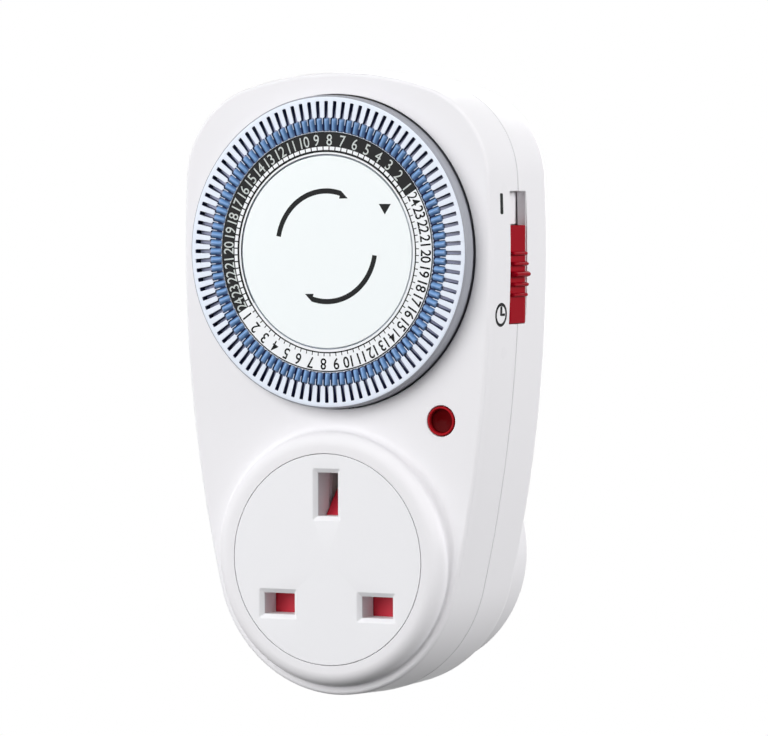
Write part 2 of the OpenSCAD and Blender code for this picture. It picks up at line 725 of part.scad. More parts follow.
module pin_clamp() color("white") difference() {
    y0 = -plug_plate - flange_t - clamp_t;
    bar([0, 0], plug_r - wall - clear_gap, y0, -plug_plate);
    bar([0, 0], 5.5, y0 - 1, -plug_plate + 1);
    for (x = [-pin_x, pin_x]) {
        bar_box([x, pin_line_z], pin_shank, y0 - 1, 0);
        bar_box([x, pin_line_z], [pin_w + 1.4, pin_t + 1.4], -plug_plate - flange_t, 0);
    }
    bar_box([0, earth_z], earth_shank, y0 - 1, 0);
    bar_box([0, earth_z], [pin_t + 1.4, earth_h + 1.4], -plug_plate - flange_t, 0);
    for (s = [-1, 1]) bar([s * clamp_screw_x, clamp_screw_z], small_screw_r + fit_gap, y0 - 1, 0);
}

// ---- Dial ----

module slot_shape() {
    translate([slot_inner_r, -slot_w / 2]) square([slot_r - slot_inner_r, slot_w]);
    translate([slot_inner_r, -pocket_w / 2]) square([pocket_outer_r - slot_inner_r, pocket_w]);
}

module dial_disc() color("white") translate([0, 0, dial_z]) {
    rim = 0.5;
    upright(dial_y + rim, dial_y + dial_plate) difference() {
        circle(dial_r);
        circle(recess_r);
        for (k = [0 : tappet_count - 1]) rotate(k * slot_pitch) slot_shape();
    }
    upright(dial_y, dial_y + rim) difference() {
        circle(dial_r - rim);
        circle(number_r);
        for (k = [0 : tappet_count - 1]) rotate(k * slot_pitch) slot_shape();
    }
    ring([0, 0], recess_r, number_r, dial_y + foil_t, dial_y + dial_plate);
    ring([0, 0], post_r + fit_gap, recess_r, dial_y + cap_recess, dial_y + cap_recess + 1.1);
    ring([0, 0], dial_r - outer_skirt, dial_r, dial_y + dial_plate, guide_y + guide_t + 0.8);
    ring([0, 0], inner_skirt[0], inner_skirt[1], dial_y + dial_plate, skirt_back_y);
    ring([0, 0], post_r + fit_gap, hub_r, dial_y + cap_recess + 1.1, drive_y[1]);
    ring([0, 0], hub_r, hub_collar_r, dial_y + cap_recess + 1.1, drive_y[0] - 0.4);
}

module number_ring() color("black") ring(dial_centre, recess_r, number_r, dial_y, dial_y + foil_t);

// The slotted ring, clipped in from behind, that keeps the tappets straight
module tappet_guide() color("white") translate([0, 0, dial_z])
    upright(guide_y, guide_y + guide_t) difference() {
        circle(dial_r - outer_skirt - fit_gap);
        circle(inner_skirt[1] + fit_gap);
        for (k = [0 : tappet_count - 1]) rotate(k * slot_pitch)
            translate([tappet_inner_r - 0.12, -slot_w / 2])
                square([fin_outer_r - tappet_inner_r + 0.24, slot_w]);
    }

// A tappet that points along +X: a blunt head and a fin that slopes back
module tappet() {
    head_r = tappet_inner_r + head_len;
    cut = 0.3;
    upright(head_front_y, head_back_y) polygon([
        [tappet_inner_r, -head_w / 2 + cut], [tappet_inner_r + cut, -head_w / 2],
        [head_r - cut, -head_w / 2], [head_r, -head_w / 2 + cut],
        [head_r, head_w / 2 - cut], [head_r - cut, head_w / 2],
        [tappet_inner_r + cut, head_w / 2], [tappet_inner_r, head_w / 2 - cut]]);
    translate([0, 0, -fin_t / 2]) linear_extrude(fin_t) polygon([
        [tappet_inner_r, head_front_y + 0.5], [head_r - 0.5, head_front_y + 0.5],
        [fin_outer_r, head_front_y + 3.6], [fin_outer_r, tappet_back_y],
        [tappet_inner_r, tappet_back_y]]);
}

module tappets(group) color("steelblue") translate([0, 0, dial_z])
    for (k = [0 : group_size - 1])
        rotate([0, -((group - 1) * group_size + k) * slot_pitch, 0]) tappet();

module centre_cap() color("white") {
    bar(dial_centre, cap_r, dial_y, dial_y + cap_t);
    bar(dial_centre, 2, dial_y + cap_t, plate_y - 1);
}

// ---- Movement ----

module drive_gear() color("beige") difference() {
    translate([0, 0, dial_z]) gear(drive_teeth, drive_module, drive_y[0], drive_y[1], 0);
    bar(dial_centre, hub_r + fit_gap, drive_y[0] - 1, drive_y[1] + 1);
}

// Three waves press the drive gear against the dial's collar
module clutch_spring() color("silver") {
    ring(dial_centre, hub_r + fit_gap, hub_collar_r, drive_y[0] - 0.25, drive_y[0] - 0.05);
    for (a = [30 : 120 : 270]) translate([0, 0, dial_z]) rotate([0, a, 0])
        block([hub_r + 0.3, hub_collar_r - 0.3], [drive_y[0] - 0.38, drive_y[0] - 0.25], [-0.8, 0.8]);
}

module plate_shape() {
    union() {
        difference() {
            intersection() {
                polygon(outline(wall + 0.4));
                translate([-half_width, dial_z - 29.7]) square([2 * half_width, top_z]);
            }
            translate([arm_x[0] - 1.6, 0]) square([half_width, dial_z + 2.3]);
            translate([guide_x[0] - 0.8, 0]) square([half_width, guide_z[1] + 0.8]);
        }
        translate(plate_posts[1]) circle(3.6);
        translate(plate_posts[1] + [-3.6, 0]) square([7.2, 6]);
    }
}

module movement_plate() color("ivory") difference() {
    union() {
        upright(plate_y, plate_back_y) plate_shape();
        bar(dial_centre, post_r, dial_y + cap_t, plate_y + 0.5);
    }
    bar(dial_centre, 2, dial_y, plate_y - 1);
    for (p = screw_places) bar(p, screw_r + slide_gap, plate_y - 1, plate_back_y + 1);
    for (p = plate_posts) bar(p, small_screw_r + fit_gap, plate_y - 1, plate_back_y + 1);
    for (p = [wheel_1_at, wheel_2_at]) bar(p, pin_r, plate_y - 1, plate_back_y + 1);
    bar(rotor_at, pin_r + fit_gap, plate_y - 1, plate_back_y + 1);
    for (a = motor_ears) bar(ear_at(a), small_screw_r + fit_gap, plate_y - 1, plate_back_y + 1);
}

function ear_at(angle) = rotor_at + motor_ear_reach * [cos(angle), sin(angle)];

module movement_screws() color("silver") for (p = plate_posts) {
    bar(p, small_screw_r, plate_y - 3.5, plate_back_y);
    bar(p, 1.9, plate_back_y, plate_back_y + 1.2);
}

module gear_pins() color("silver") {
    bar(wheel_2_at, pin_r, drive_y[0] + 0.2, plate_back_y);
    bar(wheel_1_at, pin_r, wheel_1_y[0] - 0.2, plate_back_y);
}

module gear_2() color("beige") difference() {
    translate([wheel_2_at[0], 0, wheel_2_at[1]]) {
        gear(wheel_2_teeth, wheel_module, wheel_2_y[0], wheel_2_y[1], 0);
        gear(pinion_teeth, drive_module, drive_y[0], wheel_2_y[0], pinion_2_turn);
        bar([0, 0], 1.6, wheel_2_y[1], plate_y - 0.1);
    }
    bar(wheel_2_at, pin_r + fit_gap, drive_y[0] - 1, plate_y + 1);
}

module gear_1() color("beige") difference() {
    translate([wheel_1_at[0], 0, wheel_1_at[1]]) {
        gear(wheel_1_teeth, wheel_module, wheel_1_y[0], wheel_1_y[1], 0);
        gear(pinion_teeth, wheel_module, wheel_1_y[1], wheel_2_y[1], pinion_1_turn);
        bar([0, 0], 1.6, wheel_2_y[1], plate_y - 0.1);
    }
    bar(wheel_1_at, pin_r + fit_gap, wheel_1_y[0] - 1, plate_y + 1);
}

module rotor_pinion() color("goldenrod") {
    translate([rotor_at[0], 0, rotor_at[1]])
        gear(pinion_teeth, wheel_module, wheel_1_y[0], wheel_1_y[1], rotor_turn);
    bar(rotor_at, pin_r, wheel_1_y[1], motor_back_y - 0.1);
}

module rotor_magnet() color("dimgray")
    ring(rotor_at, pin_r, rotor_r, plate_back_y + 2.4, motor_back_y - motor_wall - 1.6);

module motor_cover() color("silver") difference() {
    upright(plate_back_y, plate_back_y + motor_wall) union() {
        translate(rotor_at) circle(motor_r);
        for (a = motor_ears) hull() {
            translate(ear_at(a)) circle(2.6);
            translate(rotor_at + 6 * [cos(a), sin(a)]) circle(5);
        }
    }
    bar(rotor_at, pin_r + fit_gap, plate_back_y - 1, plate_back_y + 2);
    for (a = motor_ears) bar(ear_at(a), small_screw_r + fit_gap, plate_back_y - 1, plate_back_y + 2);
}

module motor_can() color("silver") difference() {
    bar(rotor_at, motor_r, plate_back_y + motor_wall, motor_back_y);
    bar(rotor_at, motor_r - motor_wall, plate_back_y, motor_back_y - motor_wall);
    bar(rotor_at, pin_r + fit_gap, plate_back_y, motor_back_y + 1);
}

module motor_coil() color("orangered")
    ring(rotor_at, rotor_r + 0.8, motor_r - motor_wall - 0.1, plate_back_y + 2.2, motor_back_y - motor_wall);

module motor_screws() color("silver") for (a = motor_ears) {
    bar(ear_at(a), small_screw_r, plate_y, plate_back_y + motor_wall);
    bar(ear_at(a), 1.7, plate_back_y + motor_wall, plate_back_y + motor_wall + 1.1);
}

// ---- Switch gear ----

module rib(z, reach, r) {
    y0 = parting_y - track_w / 2 + 0.4;
    y1 = parting_y + track_w / 2 - 0.4;
    block([grip_face_x - 0.5, grip_face_x + reach - r], [y0, y1], [z - r, z + r]);
    bar_x(grip_face_x + reach - r, z, r, y0, y1);
}

module bar_x(x, z, r, y0, y1) { bar([x, z], r, y0, y1, $fn = 24); }

rib_pitch = 2.05;
rib_reach = [0.8, 1.05, 1.5, 1.05, 0.8];
rib_r = [0.4, 0.42, 0.6, 0.42, 0.4];
rib_mid_z = track_z + 9.9;

module mode_slider() color("firebrick") {
    half = track_w / 2 - slide_gap;
    block([flange_x[1] - 0.2, grip_face_x], [parting_y - half, parting_y + half], [grip_z, grip_z + grip_len]);
    block(flange_x, [parting_y - flange_half, parting_y + flange_half], [cam_z[0], grip_z + grip_len]);
    block([cam_x, flange_x[0]], [plate_y, plate_back_y - 0.1], cam_z);
    block([flange_x[0], flange_x[0] + 1], [plate_y, parting_y], cam_z);
    for (i = [0 : len(rib_reach) - 1]) rib(rib_mid_z + (i - 2) * rib_pitch, rib_reach[i], rib_r[i]);
}

module follower_lever() color("lightyellow") {
    rotate_at = [lever_axis[0], lever_axis[1]];
    difference() {
        union() {
            block(lever_x, lever_y, [lever_axis[1], lever_top]);
            block(arm_x, lever_y, [nose_at[1] - 2.5, lever_top]);
            translate([lever_x[0], lever_axis[0], lever_axis[1]]) rotate([0, 90, 0])
                cylinder(r = lever_barrel_r, h = lever_x[1] - lever_x[0], $fn = 48);
            translate([cam_x, 0, 0]) rotate([90, 0, 90]) linear_extrude(lever_x[1] - cam_x)
                polygon([[lever_y[0] + 0.2, lever_ramp_z[0]], [lever_y[0], lever_ramp_z[0]],
                         [lever_y[0] - ramp_rise, lever_ramp_z[1]],
                         [lever_y[0] - ramp_rise, lever_ramp_z[1] + 1],
                         [lever_y[0] + 0.2, lever_ramp_z[1] + 1]]);
            translate([0, 0, dial_z]) rotate([0, -nose_angle, 0])
                block([nose_r - 1.2, nose_r + 1.2], [nose_y, lever_y[0] + 0.2], [-nose_w / 2, nose_w / 2]);
        }
        translate([lever_x[0] - 1, lever_axis[0], lever_axis[1]]) rotate([0, 90, 0])
            cylinder(r = lever_pin_r + fit_gap, h = lever_x[1] - lever_x[0] + 2, $fn = 48);
    }
}

module lever_pin() color("silver")
    translate([lever_x[0] - 0.2 - ear_t, lever_axis[0], lever_axis[1]]) rotate([0, 90, 0])
        cylinder(r = lever_pin_r, h = lever_x[1] - lever_x[0] + 0.4 + 2 * ear_t, $fn = 48);

module lever_spring() color("silver")
    translate([lever_spring_at[0], inner_back_y, lever_spring_at[1]]) rotate([90, 0, 0])
        coil(1.7, 0.22, inner_back_y - lever_y[1], 7);

module switch_body() color("black") difference() {
    block(switch_x, switch_y, switch_z);
    bar(plunger_at, 1.2 + slide_gap, switch_y[0] - 1, switch_y[0] + 3);
}

module switch_plunger() color("white")
    bar(plunger_at, 1.2, lever_y[1] + 0.1, switch_y[0] + 3 - plunger_travel - 0.1);

module switch_terminals() color("goldenrod") {
    for (t = [[terminal_1_y, terminal_1_z], [terminal_2_y, terminal_2_z]])
        block(terminal_x, [t[0] - terminal_t, t[0]], [t[1] - terminal_w / 2, t[1] + terminal_w / 2]);
}

// ---- Lamp ----

module neon_lens() color("red") difference() {
    union() {
        bar([lamp_x, lamp_z], lens_r, front_y - 0.2, inner_front_y);
        bar([lamp_x, lamp_z], lens_r + 0.9, inner_front_y, inner_front_y + 0.8);
        bar([lamp_x, lamp_z], lens_r - 0.1, inner_front_y + 0.7, inner_front_y + 2.2);
    }
    bar([lamp_x, lamp_z], lens_r - 0.9, front_y - 1, front_y + 0.4);
    bar([lamp_x, lamp_z], lens_r - 0.8, lamp_y[0] - 0.2, inner_front_y + 4);
}

module neon_lamp() color("orange")
    bar([lamp_x, lamp_z], lens_r - 1.1, lamp_y[0], lamp_y[1]);

module neon_resistor() color("tan")
    translate(resistor_at[0]) rotate([0, 90, 0])
        cylinder(r = resistor_r, h = resistor_at[1][0] - resistor_at[0][0], $fn = 32);

// ---- Conductors ----

module live_link() color("darkgoldenrod") {
    w = [pin_x - 2.5, pin_x + 2.5];
    rise = terminal_1_z + terminal_w / 2;
    knee = pin_line_z + 17;
    y0 = terminal_1_y - 2 * terminal_t;
    block(w, [pin_back_y - terminal_t, pin_back_y], [pin_line_z - 2, knee]);
    block(w, [y0, pin_back_y], [knee, knee + terminal_t]);
    block(w, [y0, y0 + terminal_t], [knee, rise]);
    block([w[0], terminal_x[0] + 1.5], [y0, y0 + terminal_t], [rise - terminal_w, rise]);
}

module switched_link() color("darkgoldenrod") {
    y = [switched_y, switched_y + terminal_t];
    block([terminal_x[0], terminal_x[0] + 3.5], y, [pin_line_z - 2, terminal_2_z - terminal_w / 2]);
    block([pin_x - 2, terminal_x[0] + 0.1], y, [pin_line_z - 2, pin_line_z + 2]);
}

module neutral_link() color("darkgoldenrod")
    block([-pin_x - 2, -pin_x + 2], [contact_back_y + contact_t, pin_back_y], [pin_line_z - 0.4, pin_line_z + 0.4]);

module earth_link() color("seagreen")
    block([-1.2, 1.2], [earth_back_y + contact_t, pin_back_y], [earth_z - 2, earth_z + 2]);

module wires() color("dimgray") {
    neutral_top = pin_line_z + 0.4;
    // Lamp to resistor
    wire([[lamp_x + 0.6, lamp_y[1], lamp_z - 1], [lamp_x + 0.6, resistor_at[1][1], lamp_z - 1],
          resistor_at[1] + [1.5, 0, 0], resistor_at[1]]);
    // Resistor to the switched link
    wire([resistor_at[0], resistor_at[0] - [1.6, 0, 0], [resistor_at[0][0] - 1.6, switched_y - 2, resistor_at[0][2]],
          [terminal_x[0] + 0.9, switched_y - 2, resistor_at[0][2]],
          [terminal_x[0] + 0.9, switched_y, resistor_at[0][2]]]);
    // Lamp to the neutral link
    wire([[lamp_x - 1.2, lamp_y[1], lamp_z + 0.8], [lamp_x - 1.2, plate_y - 0.4, lamp_z + 0.8],
          [lamp_x - 3.8, plate_y - 1.2, lamp_z - 1.8], [-4, plate_y - 1.2, lamp_z - 1.8],
          [-4, neutral_wire_y, lamp_z - 1.8], [-pin_x, neutral_wire_y, lamp_z - 8],
          [-pin_x, neutral_wire_y, neutral_top]]);
    // Motor to the neutral link
    wire([[rotor_at[0] - 3, motor_back_y, rotor_at[1] - 9], [rotor_at[0] - 3, lead_back_y, rotor_at[1] - 9],
          [-pin_x + 1.3, lead_back_y, dial_z - 22], [-pin_x + 1.3, lead_back_y, neutral_top]]);
    // Motor to the live link
    wire([[rotor_at[0] + 3, motor_back_y, rotor_at[1] - 10], [rotor_at[0] + 3, lead_back_y, rotor_at[1] - 10],
          [pin_x - 1, lead_back_y, terminal_1_z], [pin_x - 1, terminal_1_y - terminal_t, terminal_1_z]]);
}

front_housing();
rear_housing();
housing_screws();
socket_face();
shutter();
shutter_spring();
neon_lens();
neon_lamp();
neon_resistor();
mode_slider();
dial_disc();
number_ring();
tappet_guide();
centre_cap();
drive_gear();
clutch_spring();
movement_plate();
movement_screws();
gear_pins();
gear_1();
gear_2();
motor_can();
motor_coil();
motor_cover();
motor_screws();
rotor_magnet();
rotor_pinion();
follower_lever();
lever_pin();
lever_spring();
switch_body();
switch_plunger();
switch_terminals();
live_pin();
neutral_pin();
earth_pin();
pin_sleeves();
pin_clamp();
contact_carrier();
live_contact();
neutral_contact();
earth_contact();
live_link();
switched_link();
neutral_link();
earth_link();
wires();
for (group = [1 : groups])
    tappets(group);
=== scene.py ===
"""Plug-in timer switch: the moulded shells, socket, dial, tappets, controls and finishes.

X is the width, Y runs from the front to the wall and Z is up. Lengths are in metres."""

import json
import math
from types import SimpleNamespace

import bmesh
import bpy
import numpy as np
from mathutils import Matrix


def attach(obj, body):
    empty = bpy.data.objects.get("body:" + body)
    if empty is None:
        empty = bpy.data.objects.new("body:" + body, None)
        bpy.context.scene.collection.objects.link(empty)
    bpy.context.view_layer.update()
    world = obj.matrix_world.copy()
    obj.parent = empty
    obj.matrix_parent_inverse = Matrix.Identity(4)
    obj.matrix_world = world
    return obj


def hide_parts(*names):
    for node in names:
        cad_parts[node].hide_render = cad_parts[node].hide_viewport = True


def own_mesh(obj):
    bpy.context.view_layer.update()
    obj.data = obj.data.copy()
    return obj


bl_info = {
    "name": "Plug-in Timer Switch",
    "version": (1, 0, 0),
    "blender": (4, 5, 0),
    "location": "3D View > Sidebar > Timer",
    "description": "Shells, socket, dial, tappets, controls and finishes of a plug-in timer switch",
    "category": "Object",
}

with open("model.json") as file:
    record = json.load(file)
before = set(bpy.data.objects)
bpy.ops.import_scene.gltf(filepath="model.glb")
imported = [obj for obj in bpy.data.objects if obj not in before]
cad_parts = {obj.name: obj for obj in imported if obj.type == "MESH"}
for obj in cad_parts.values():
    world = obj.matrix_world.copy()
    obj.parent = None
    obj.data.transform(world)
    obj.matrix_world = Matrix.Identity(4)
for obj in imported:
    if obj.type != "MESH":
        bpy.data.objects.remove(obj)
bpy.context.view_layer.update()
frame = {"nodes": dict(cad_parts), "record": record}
MM = 0.001
TAU = 2 * math.pi
OUTER_POINTS, INNER_POINTS = 288, 144
PRINT_LIFT, PRINT_DEPTH = 0.005 * MM, 0.02 * MM
SLOTS = {part["node"]: part["material_slot"] for part in frame["record"]["subparts"]}


def length(name, description, millimetres):
    """A length property whose default is given in millimetres."""
    return bpy.props.FloatProperty(
        name=name, description=description, default=millimetres * MM, min=0, unit="LENGTH", precision=5)


def colour(name, description, *display):
    """A colour property whose default is given as display values from 0 to 255."""
    linear = [c / 255 / 12.92 if c < 11 else ((c / 255 + 0.055) / 1.055) ** 2.4 for c in display]
    return bpy.props.FloatVectorProperty(
        name=name, description=description, default=linear, size=3, min=0, max=1, subtype="COLOR")


class ShellSizes(bpy.types.PropertyGroup):
    half_width: length("Half width", "Half of the housing's width at its widest line", 34.7)
    widest_z: length("Widest line", "Height of the widest line above the socket's centre", 62)
    bottom_r: length("Bottom radius", "Radius of the round bottom end", 27.4)
    top_z: length("Top", "Height of the top above the socket's centre", 97)
    top_r: length("Top dome", "Radius of the shallow dome across the top", 70)
    corner_r: length("Corner radius", "Radius of the two top corners", 19.5)
    front: length("Front plane", "Distance of the front plane from the wall", 36.9)
    parting: length("Parting line", "Distance of the parting line from the wall", 24.9)
    back: length("Back plane", "Distance of the back plane from the wall", 9)
    wall: length("Wall", "Wall thickness of both shells", 2)
    front_round: length("Front rounding", "Rounding of the front edge", 0.8)
    rear_round: length("Rear rounding", "Rounding of the rear edge", 3.6)
    draft: length("Draft", "How far the side walls lean out towards the parting line", 0.4)
    seam: length("Seam rounding", "Rounding of the two edges that meet at the parting line", 0.25)
    seam_gap: length("Parting gap", "Half of the gap between the two shells at the parting line", 0.07)
    plug_r: length("Plug radius", "Radius of the round plug body on the back", 25)
    low_screw_z: length("Lower screws", "Height of the two lower screws above the socket's centre", 18.5)
    low_screw_in: length("Lower screw margin", "Distance of the lower screws from the side", 5.3)


class SocketSizes(bpy.types.PropertyGroup):
    face_r: length("Face radius", "Radius of the socket's face plate", 21.1)
    face: length("Face plane", "Distance of the socket face from the wall", 40.7)
    collar_r: length("Collar radius", "Radius of the collar's foot on the front plane", 25.5)
    shoulder: length("Shoulder", "Width of the collar's round shoulder", 2.9)
    foot: length("Foot fillet", "Largest fillet between the collar and the front plane", 1.5)
    pin_x: length("Pin offset", "Half of the spacing of the live and neutral apertures", 11.1)
    pin_drop: length("Pin line", "Height of the live and neutral line below the socket's centre", 9.2)
    earth_z: length("Earth height", "Height of the earth aperture above the socket's centre", 13)
    bevel: length("Bevel", "Width of the bevel around each aperture", 0.85)


class DialSizes(bpy.types.PropertyGroup):
    centre_z: length("Dial height", "Height of the dial's centre above the socket's centre", 61.3)
    dial_r: length("Dial radius", "Radius of the dial", 31.2)
    face: length("Dial face", "Distance of the dial's face from the wall", 40.5)
    slot_r: length("Slot end", "Radius at which the tappet slots end", 30)
    slot_inner_r: length("Slot start", "Radius at which the tappet slots start", 24)
    pocket_r: length("Pocket end", "Radius at which the wide part of a slot ends", 26.7)
    slot_half: length("Slot half width", "Half of the width of a slot's narrow part", 0.38)
    pocket_half: length("Pocket half width", "Half of the width of a slot's wide part", 0.78)
    number_r: length("Number ring radius", "Outer radius of the printed number ring", 23.9)
    ring_r: length("Number ring bore", "Inner radius of the printed number ring", 19.4)
    cap_r: length("Cap radius", "Radius of the fixed centre cap", 19.15)
    tappets: bpy.props.IntProperty(
        name="Tappets", description="Number of tappets around the dial", default=96)
    print_turn: bpy.props.FloatProperty(
        name="Print angle", description="Angle at which the black half of the number ring starts",
        default=math.radians(31.9), subtype="ANGLE")


class ControlSizes(bpy.types.PropertyGroup):
    track_z: length("Slot height", "Height of the slider slot's lower end", 47)
    track_len: length("Slot length", "Length of the slider's slot", 26.3)
    track_w: length("Slot width", "Width of the slider's slot", 7.1)
    grip_len: length("Grip length", "Length of the slider's grip", 19.5)
    rib_pitch: length("Rib pitch", "Distance from one finger rib to the next", 2.05)
    lamp_x: length("Lamp offset", "Distance of the lamp from the middle", 23.73)
    lamp_z: length("Lamp height", "Height of the lamp above the socket's centre", 28)
    lens_r: length("Lens radius", "Radius of the lamp's lens", 3)


class Finishes(bpy.types.PropertyGroup):
    white_shell: colour("White shell", "Glossy white housing plastic", 235, 234, 237)
    grey_face: colour("Socket face", "Satin off-white plastic of the socket face", 233, 233, 236)
    dial_white: colour("Dial white", "Cool white plastic of the dial", 224, 231, 243)
    cap_white: colour("Cap white", "Pale foil on the centre cap", 238, 243, 244)
    # Painted shade: grey for the shade on the dial's white edge band.
    dial_rim: colour("Painted rim shade", "Grey edge band of the dial", 154, 156, 164)
    # Painted shade: a dark blue-grey for the shade inside the tappet slots and on the bars between the heads,
    # which are white plastic.
    slot_shade: colour("Painted slot shade", "Shaded plastic inside the tappet slots", 54, 62, 98)
    blue_plastic: colour("Tappet blue", "Blue plastic of the tappets", 102, 150, 206)
    # Painted shade: the tappets' blue darkened where they sit deep in the slots.
    deep_blue: colour("Tappet deep blue", "Blue plastic deep in the tappet slots", 62, 76, 136)
    red_plastic: colour("Red plastic", "Red plastic of the slider", 150, 7, 26)
    # Painted light: a brighter copy of the slider's red, which lifts the shutter out of the shade behind the
    # apertures.
    red_shutter: colour("Shutter red with painted light", "Red plastic of the shutter behind the apertures", 192, 40, 58)
    red_lens: colour("Lens red", "Clear red plastic of the lamp's lens", 150, 8, 14)
    print_black: colour("Print black", "Black printing ink", 16, 17, 18)
    print_grey: colour("Print grey", "Pale ink of the numbers on the black half", 196, 202, 200)
    print_white: colour("Print white", "White printing ink", 238, 240, 243)


# ---- Shapes ----


def stack(*coordinates):
    """Points from their coordinates, each a number or an array, stretched to a common shape."""
    return np.stack(np.broadcast_arrays(*coordinates), axis=-1)


def polar(radius, angle):
    """Flat points at a radius and an angle: radius x (cos, sin)."""
    return stack(radius * np.cos(angle), radius * np.sin(angle))


def spun(x, z, angle):
    """x and z after a turn about zero: (x cos - z sin, x sin + z cos)."""
    return x * np.cos(angle) - z * np.sin(angle), x * np.sin(angle) + z * np.cos(angle)


def arcs_of_outline(s):
    """The right half of the outline as tangent arcs, from the bottom to the top: for each its
    centre, radius and first and last angle. The side arc touches the bottom arc from outside and
    the corner arc touches both the side arc and the top dome from inside."""
    side_r = (s.half_width**2 + s.widest_z**2 - s.bottom_r**2) / (2 * (s.half_width - s.bottom_r))
    side_c = np.array([s.half_width - side_r, s.widest_z])
    top_c = np.array([0, s.top_z - s.top_r])
    r1, r2 = s.top_r - s.corner_r, side_r - s.corner_r
    span = np.linalg.norm(side_c - top_c)
    along = (r1**2 + span**2 - r2**2) / (2 * span)
    u = (side_c - top_c) / span
    corner_c = top_c + along * u + math.sqrt(r1**2 - along**2) * np.array([u[1], -u[0]])

    def heading(a, b):
        return math.atan2(b[1] - a[1], b[0] - a[0])

    side_start, side_end = heading(side_c, (0, 0)), heading(side_c, corner_c)
    top_start = heading(top_c, corner_c)
    return [
        (np.zeros(2), s.bottom_r, -math.pi / 2, side_start),
        (side_c, side_r, side_start, side_end),
        (corner_c, s.corner_r, side_end, top_start),
        (top_c, s.top_r, top_start, math.pi / 2),
    ]


def outline(s, count):
    """Points and outward normals, evenly spaced along the whole outline, anticlockwise seen from
    the front. A point at distance d along an arc stands at the arc's centre plus its radius times
    (cos, sin) of first angle + d / radius, and the left half mirrors the right."""
    arcs = arcs_of_outline(s)
    ends = np.cumsum([r * (b - a) for _, r, a, b in arcs])
    half = np.linspace(0, ends[-1], count // 2 + 1)
    which = np.clip(np.searchsorted(ends, half, side="right"), 0, len(arcs) - 1)
    centre, radius, start = (np.array([a[i] for a in arcs])[which] for i in range(3))
    normal = polar(1, start + (half - np.concatenate([[0], ends])[which]) / radius)
    point = centre + radius[:, None] * normal
    normal[[0, -1], 0] = 0
    point[[0, -1], 0] = 0
    flip = np.array([-1, 1])
    return [np.concatenate([right, right[-2:0:-1] * flip]) for right in (point, normal)]


def arc_x(s, z):
    """Where the side arc stands at z."""
    side_r = arcs_of_outline(s)[1][1]
    return s.half_width - side_r + np.sqrt(side_r**2 - (z - s.widest_z) ** 2)


def side_x(s, y, z):
    """Where the right side wall stands at y and z: on the side arc, moved out by the draft in
    proportion to how far y is from the front rounding or the rear rounding to the parting line."""
    front_lean = np.clip((y + s.front - s.front_round) / (s.front - s.front_round - s.parting), 0, 1)
    rear_lean = 1 - np.clip((y + s.parting) / (s.parting - s.back - s.rear_round), 0, 1)
    return arc_x(s, z) + s.draft * np.where(y > -s.parting, rear_lean, front_lean)


def sizes(context):
    """The four groups of sizes, and the stations along Y and places across that pieces share."""
    scene = context.scene
    s, k, d, c = scene.timer_shell, scene.timer_socket, scene.timer_dial, scene.timer_controls
    p = SimpleNamespace(front=-s.front, parting=-s.parting, back=-s.back, face=-k.face, dial=-d.face)
    p.inner_front = p.front + s.wall
    p.inner_back = p.back - s.wall
    p.plate = p.dial + 10.8 * MM
    p.plate_back = p.plate + 1.6 * MM
    p.shutter = p.face + 5.4 * MM
    p.carrier = p.shutter + 2.4 * MM
    p.carrier_back = p.carrier + 1.6 * MM
    p.skirt = p.plate - 3.2 * MM
    p.pad = s.half_width - s.wall - 0.2 * MM
    p.flange = (p.pad - 1.5 * MM, p.pad - 0.1 * MM)
    p.guide = (p.flange[0] - 1.3 * MM, p.flange[0] - 0.1 * MM)
    p.grip = s.half_width + 0.05 * MM
    p.cam_z = (c.track_z - 10.4 * MM, c.track_z - 7.4 * MM)
    p.pocket_x = (p.pad - 1.6 * MM, p.pad)
    p.pocket_z = (p.cam_z[0] - 0.5 * MM, c.track_z + c.track_len + 0.6 * MM)
    p.pocket_reach = c.track_w / 2 + 1.8 * MM
    lever_z = s.low_screw_z + 7.5 * MM
    lever_side = arc_x(s, lever_z) - s.wall
    p.lever_x = (lever_side - 7.55 * MM, lever_side - 2.15 * MM)
    p.lever_axis = (p.plate_back + 0.9 * MM, lever_z)
    dial_at = np.array([0, d.centre_z])
    to_corner = arcs_of_outline(s)[2][0] - dial_at
    high = dial_at + 34.3 * MM * to_corner / np.linalg.norm(to_corner)
    low = np.array([arc_x(s, s.low_screw_z) - s.low_screw_in, s.low_screw_z])
    p.screws = [(sx * x, z) for sx in (-1, 1) for x, z in (high, low)]
    p.posts = [(-22.5 * MM, d.centre_z - 26.7 * MM), (12 * MM, d.centre_z - 32.2 * MM)]
    return s, k, d, c, p


def make_mesh(name, points, faces):
    """A mesh from points and faces, turned outwards: if the sum of its signed wedges with the
    origin is negative, every face is reversed."""
    points = np.asarray(points, float).reshape(-1, 3)
    faces = [list(map(int, f)) for f in faces]
    volume = 0.0
    for f in faces:
        p = points[f]
        volume += np.einsum("i,ji->", p[0], np.cross(p[1:-1], p[2:]))
    if volume < 0:
        faces = [f[::-1] for f in faces]
    mesh = bpy.data.meshes.new(name)
    mesh.from_pydata(points.tolist(), [], faces)
    mesh.validate()
    return mesh


def grid_faces(rows, columns, close_rows, close_columns, offset=0):
    """Four-sided faces of a grid of rows x columns points, as an array of point numbers."""
    r = np.arange(rows if close_rows else rows - 1)
    c = np.arange(columns if close_columns else columns - 1)
    r, c = np.meshgrid(r, c, indexing="ij")
    r2, c2 = (r + 1) % rows, (c + 1) % columns
    quads = stack(r * columns + c, r * columns + c2, r2 * columns + c2, r2 * columns + c)
    return quads.reshape(-1, 4) + offset


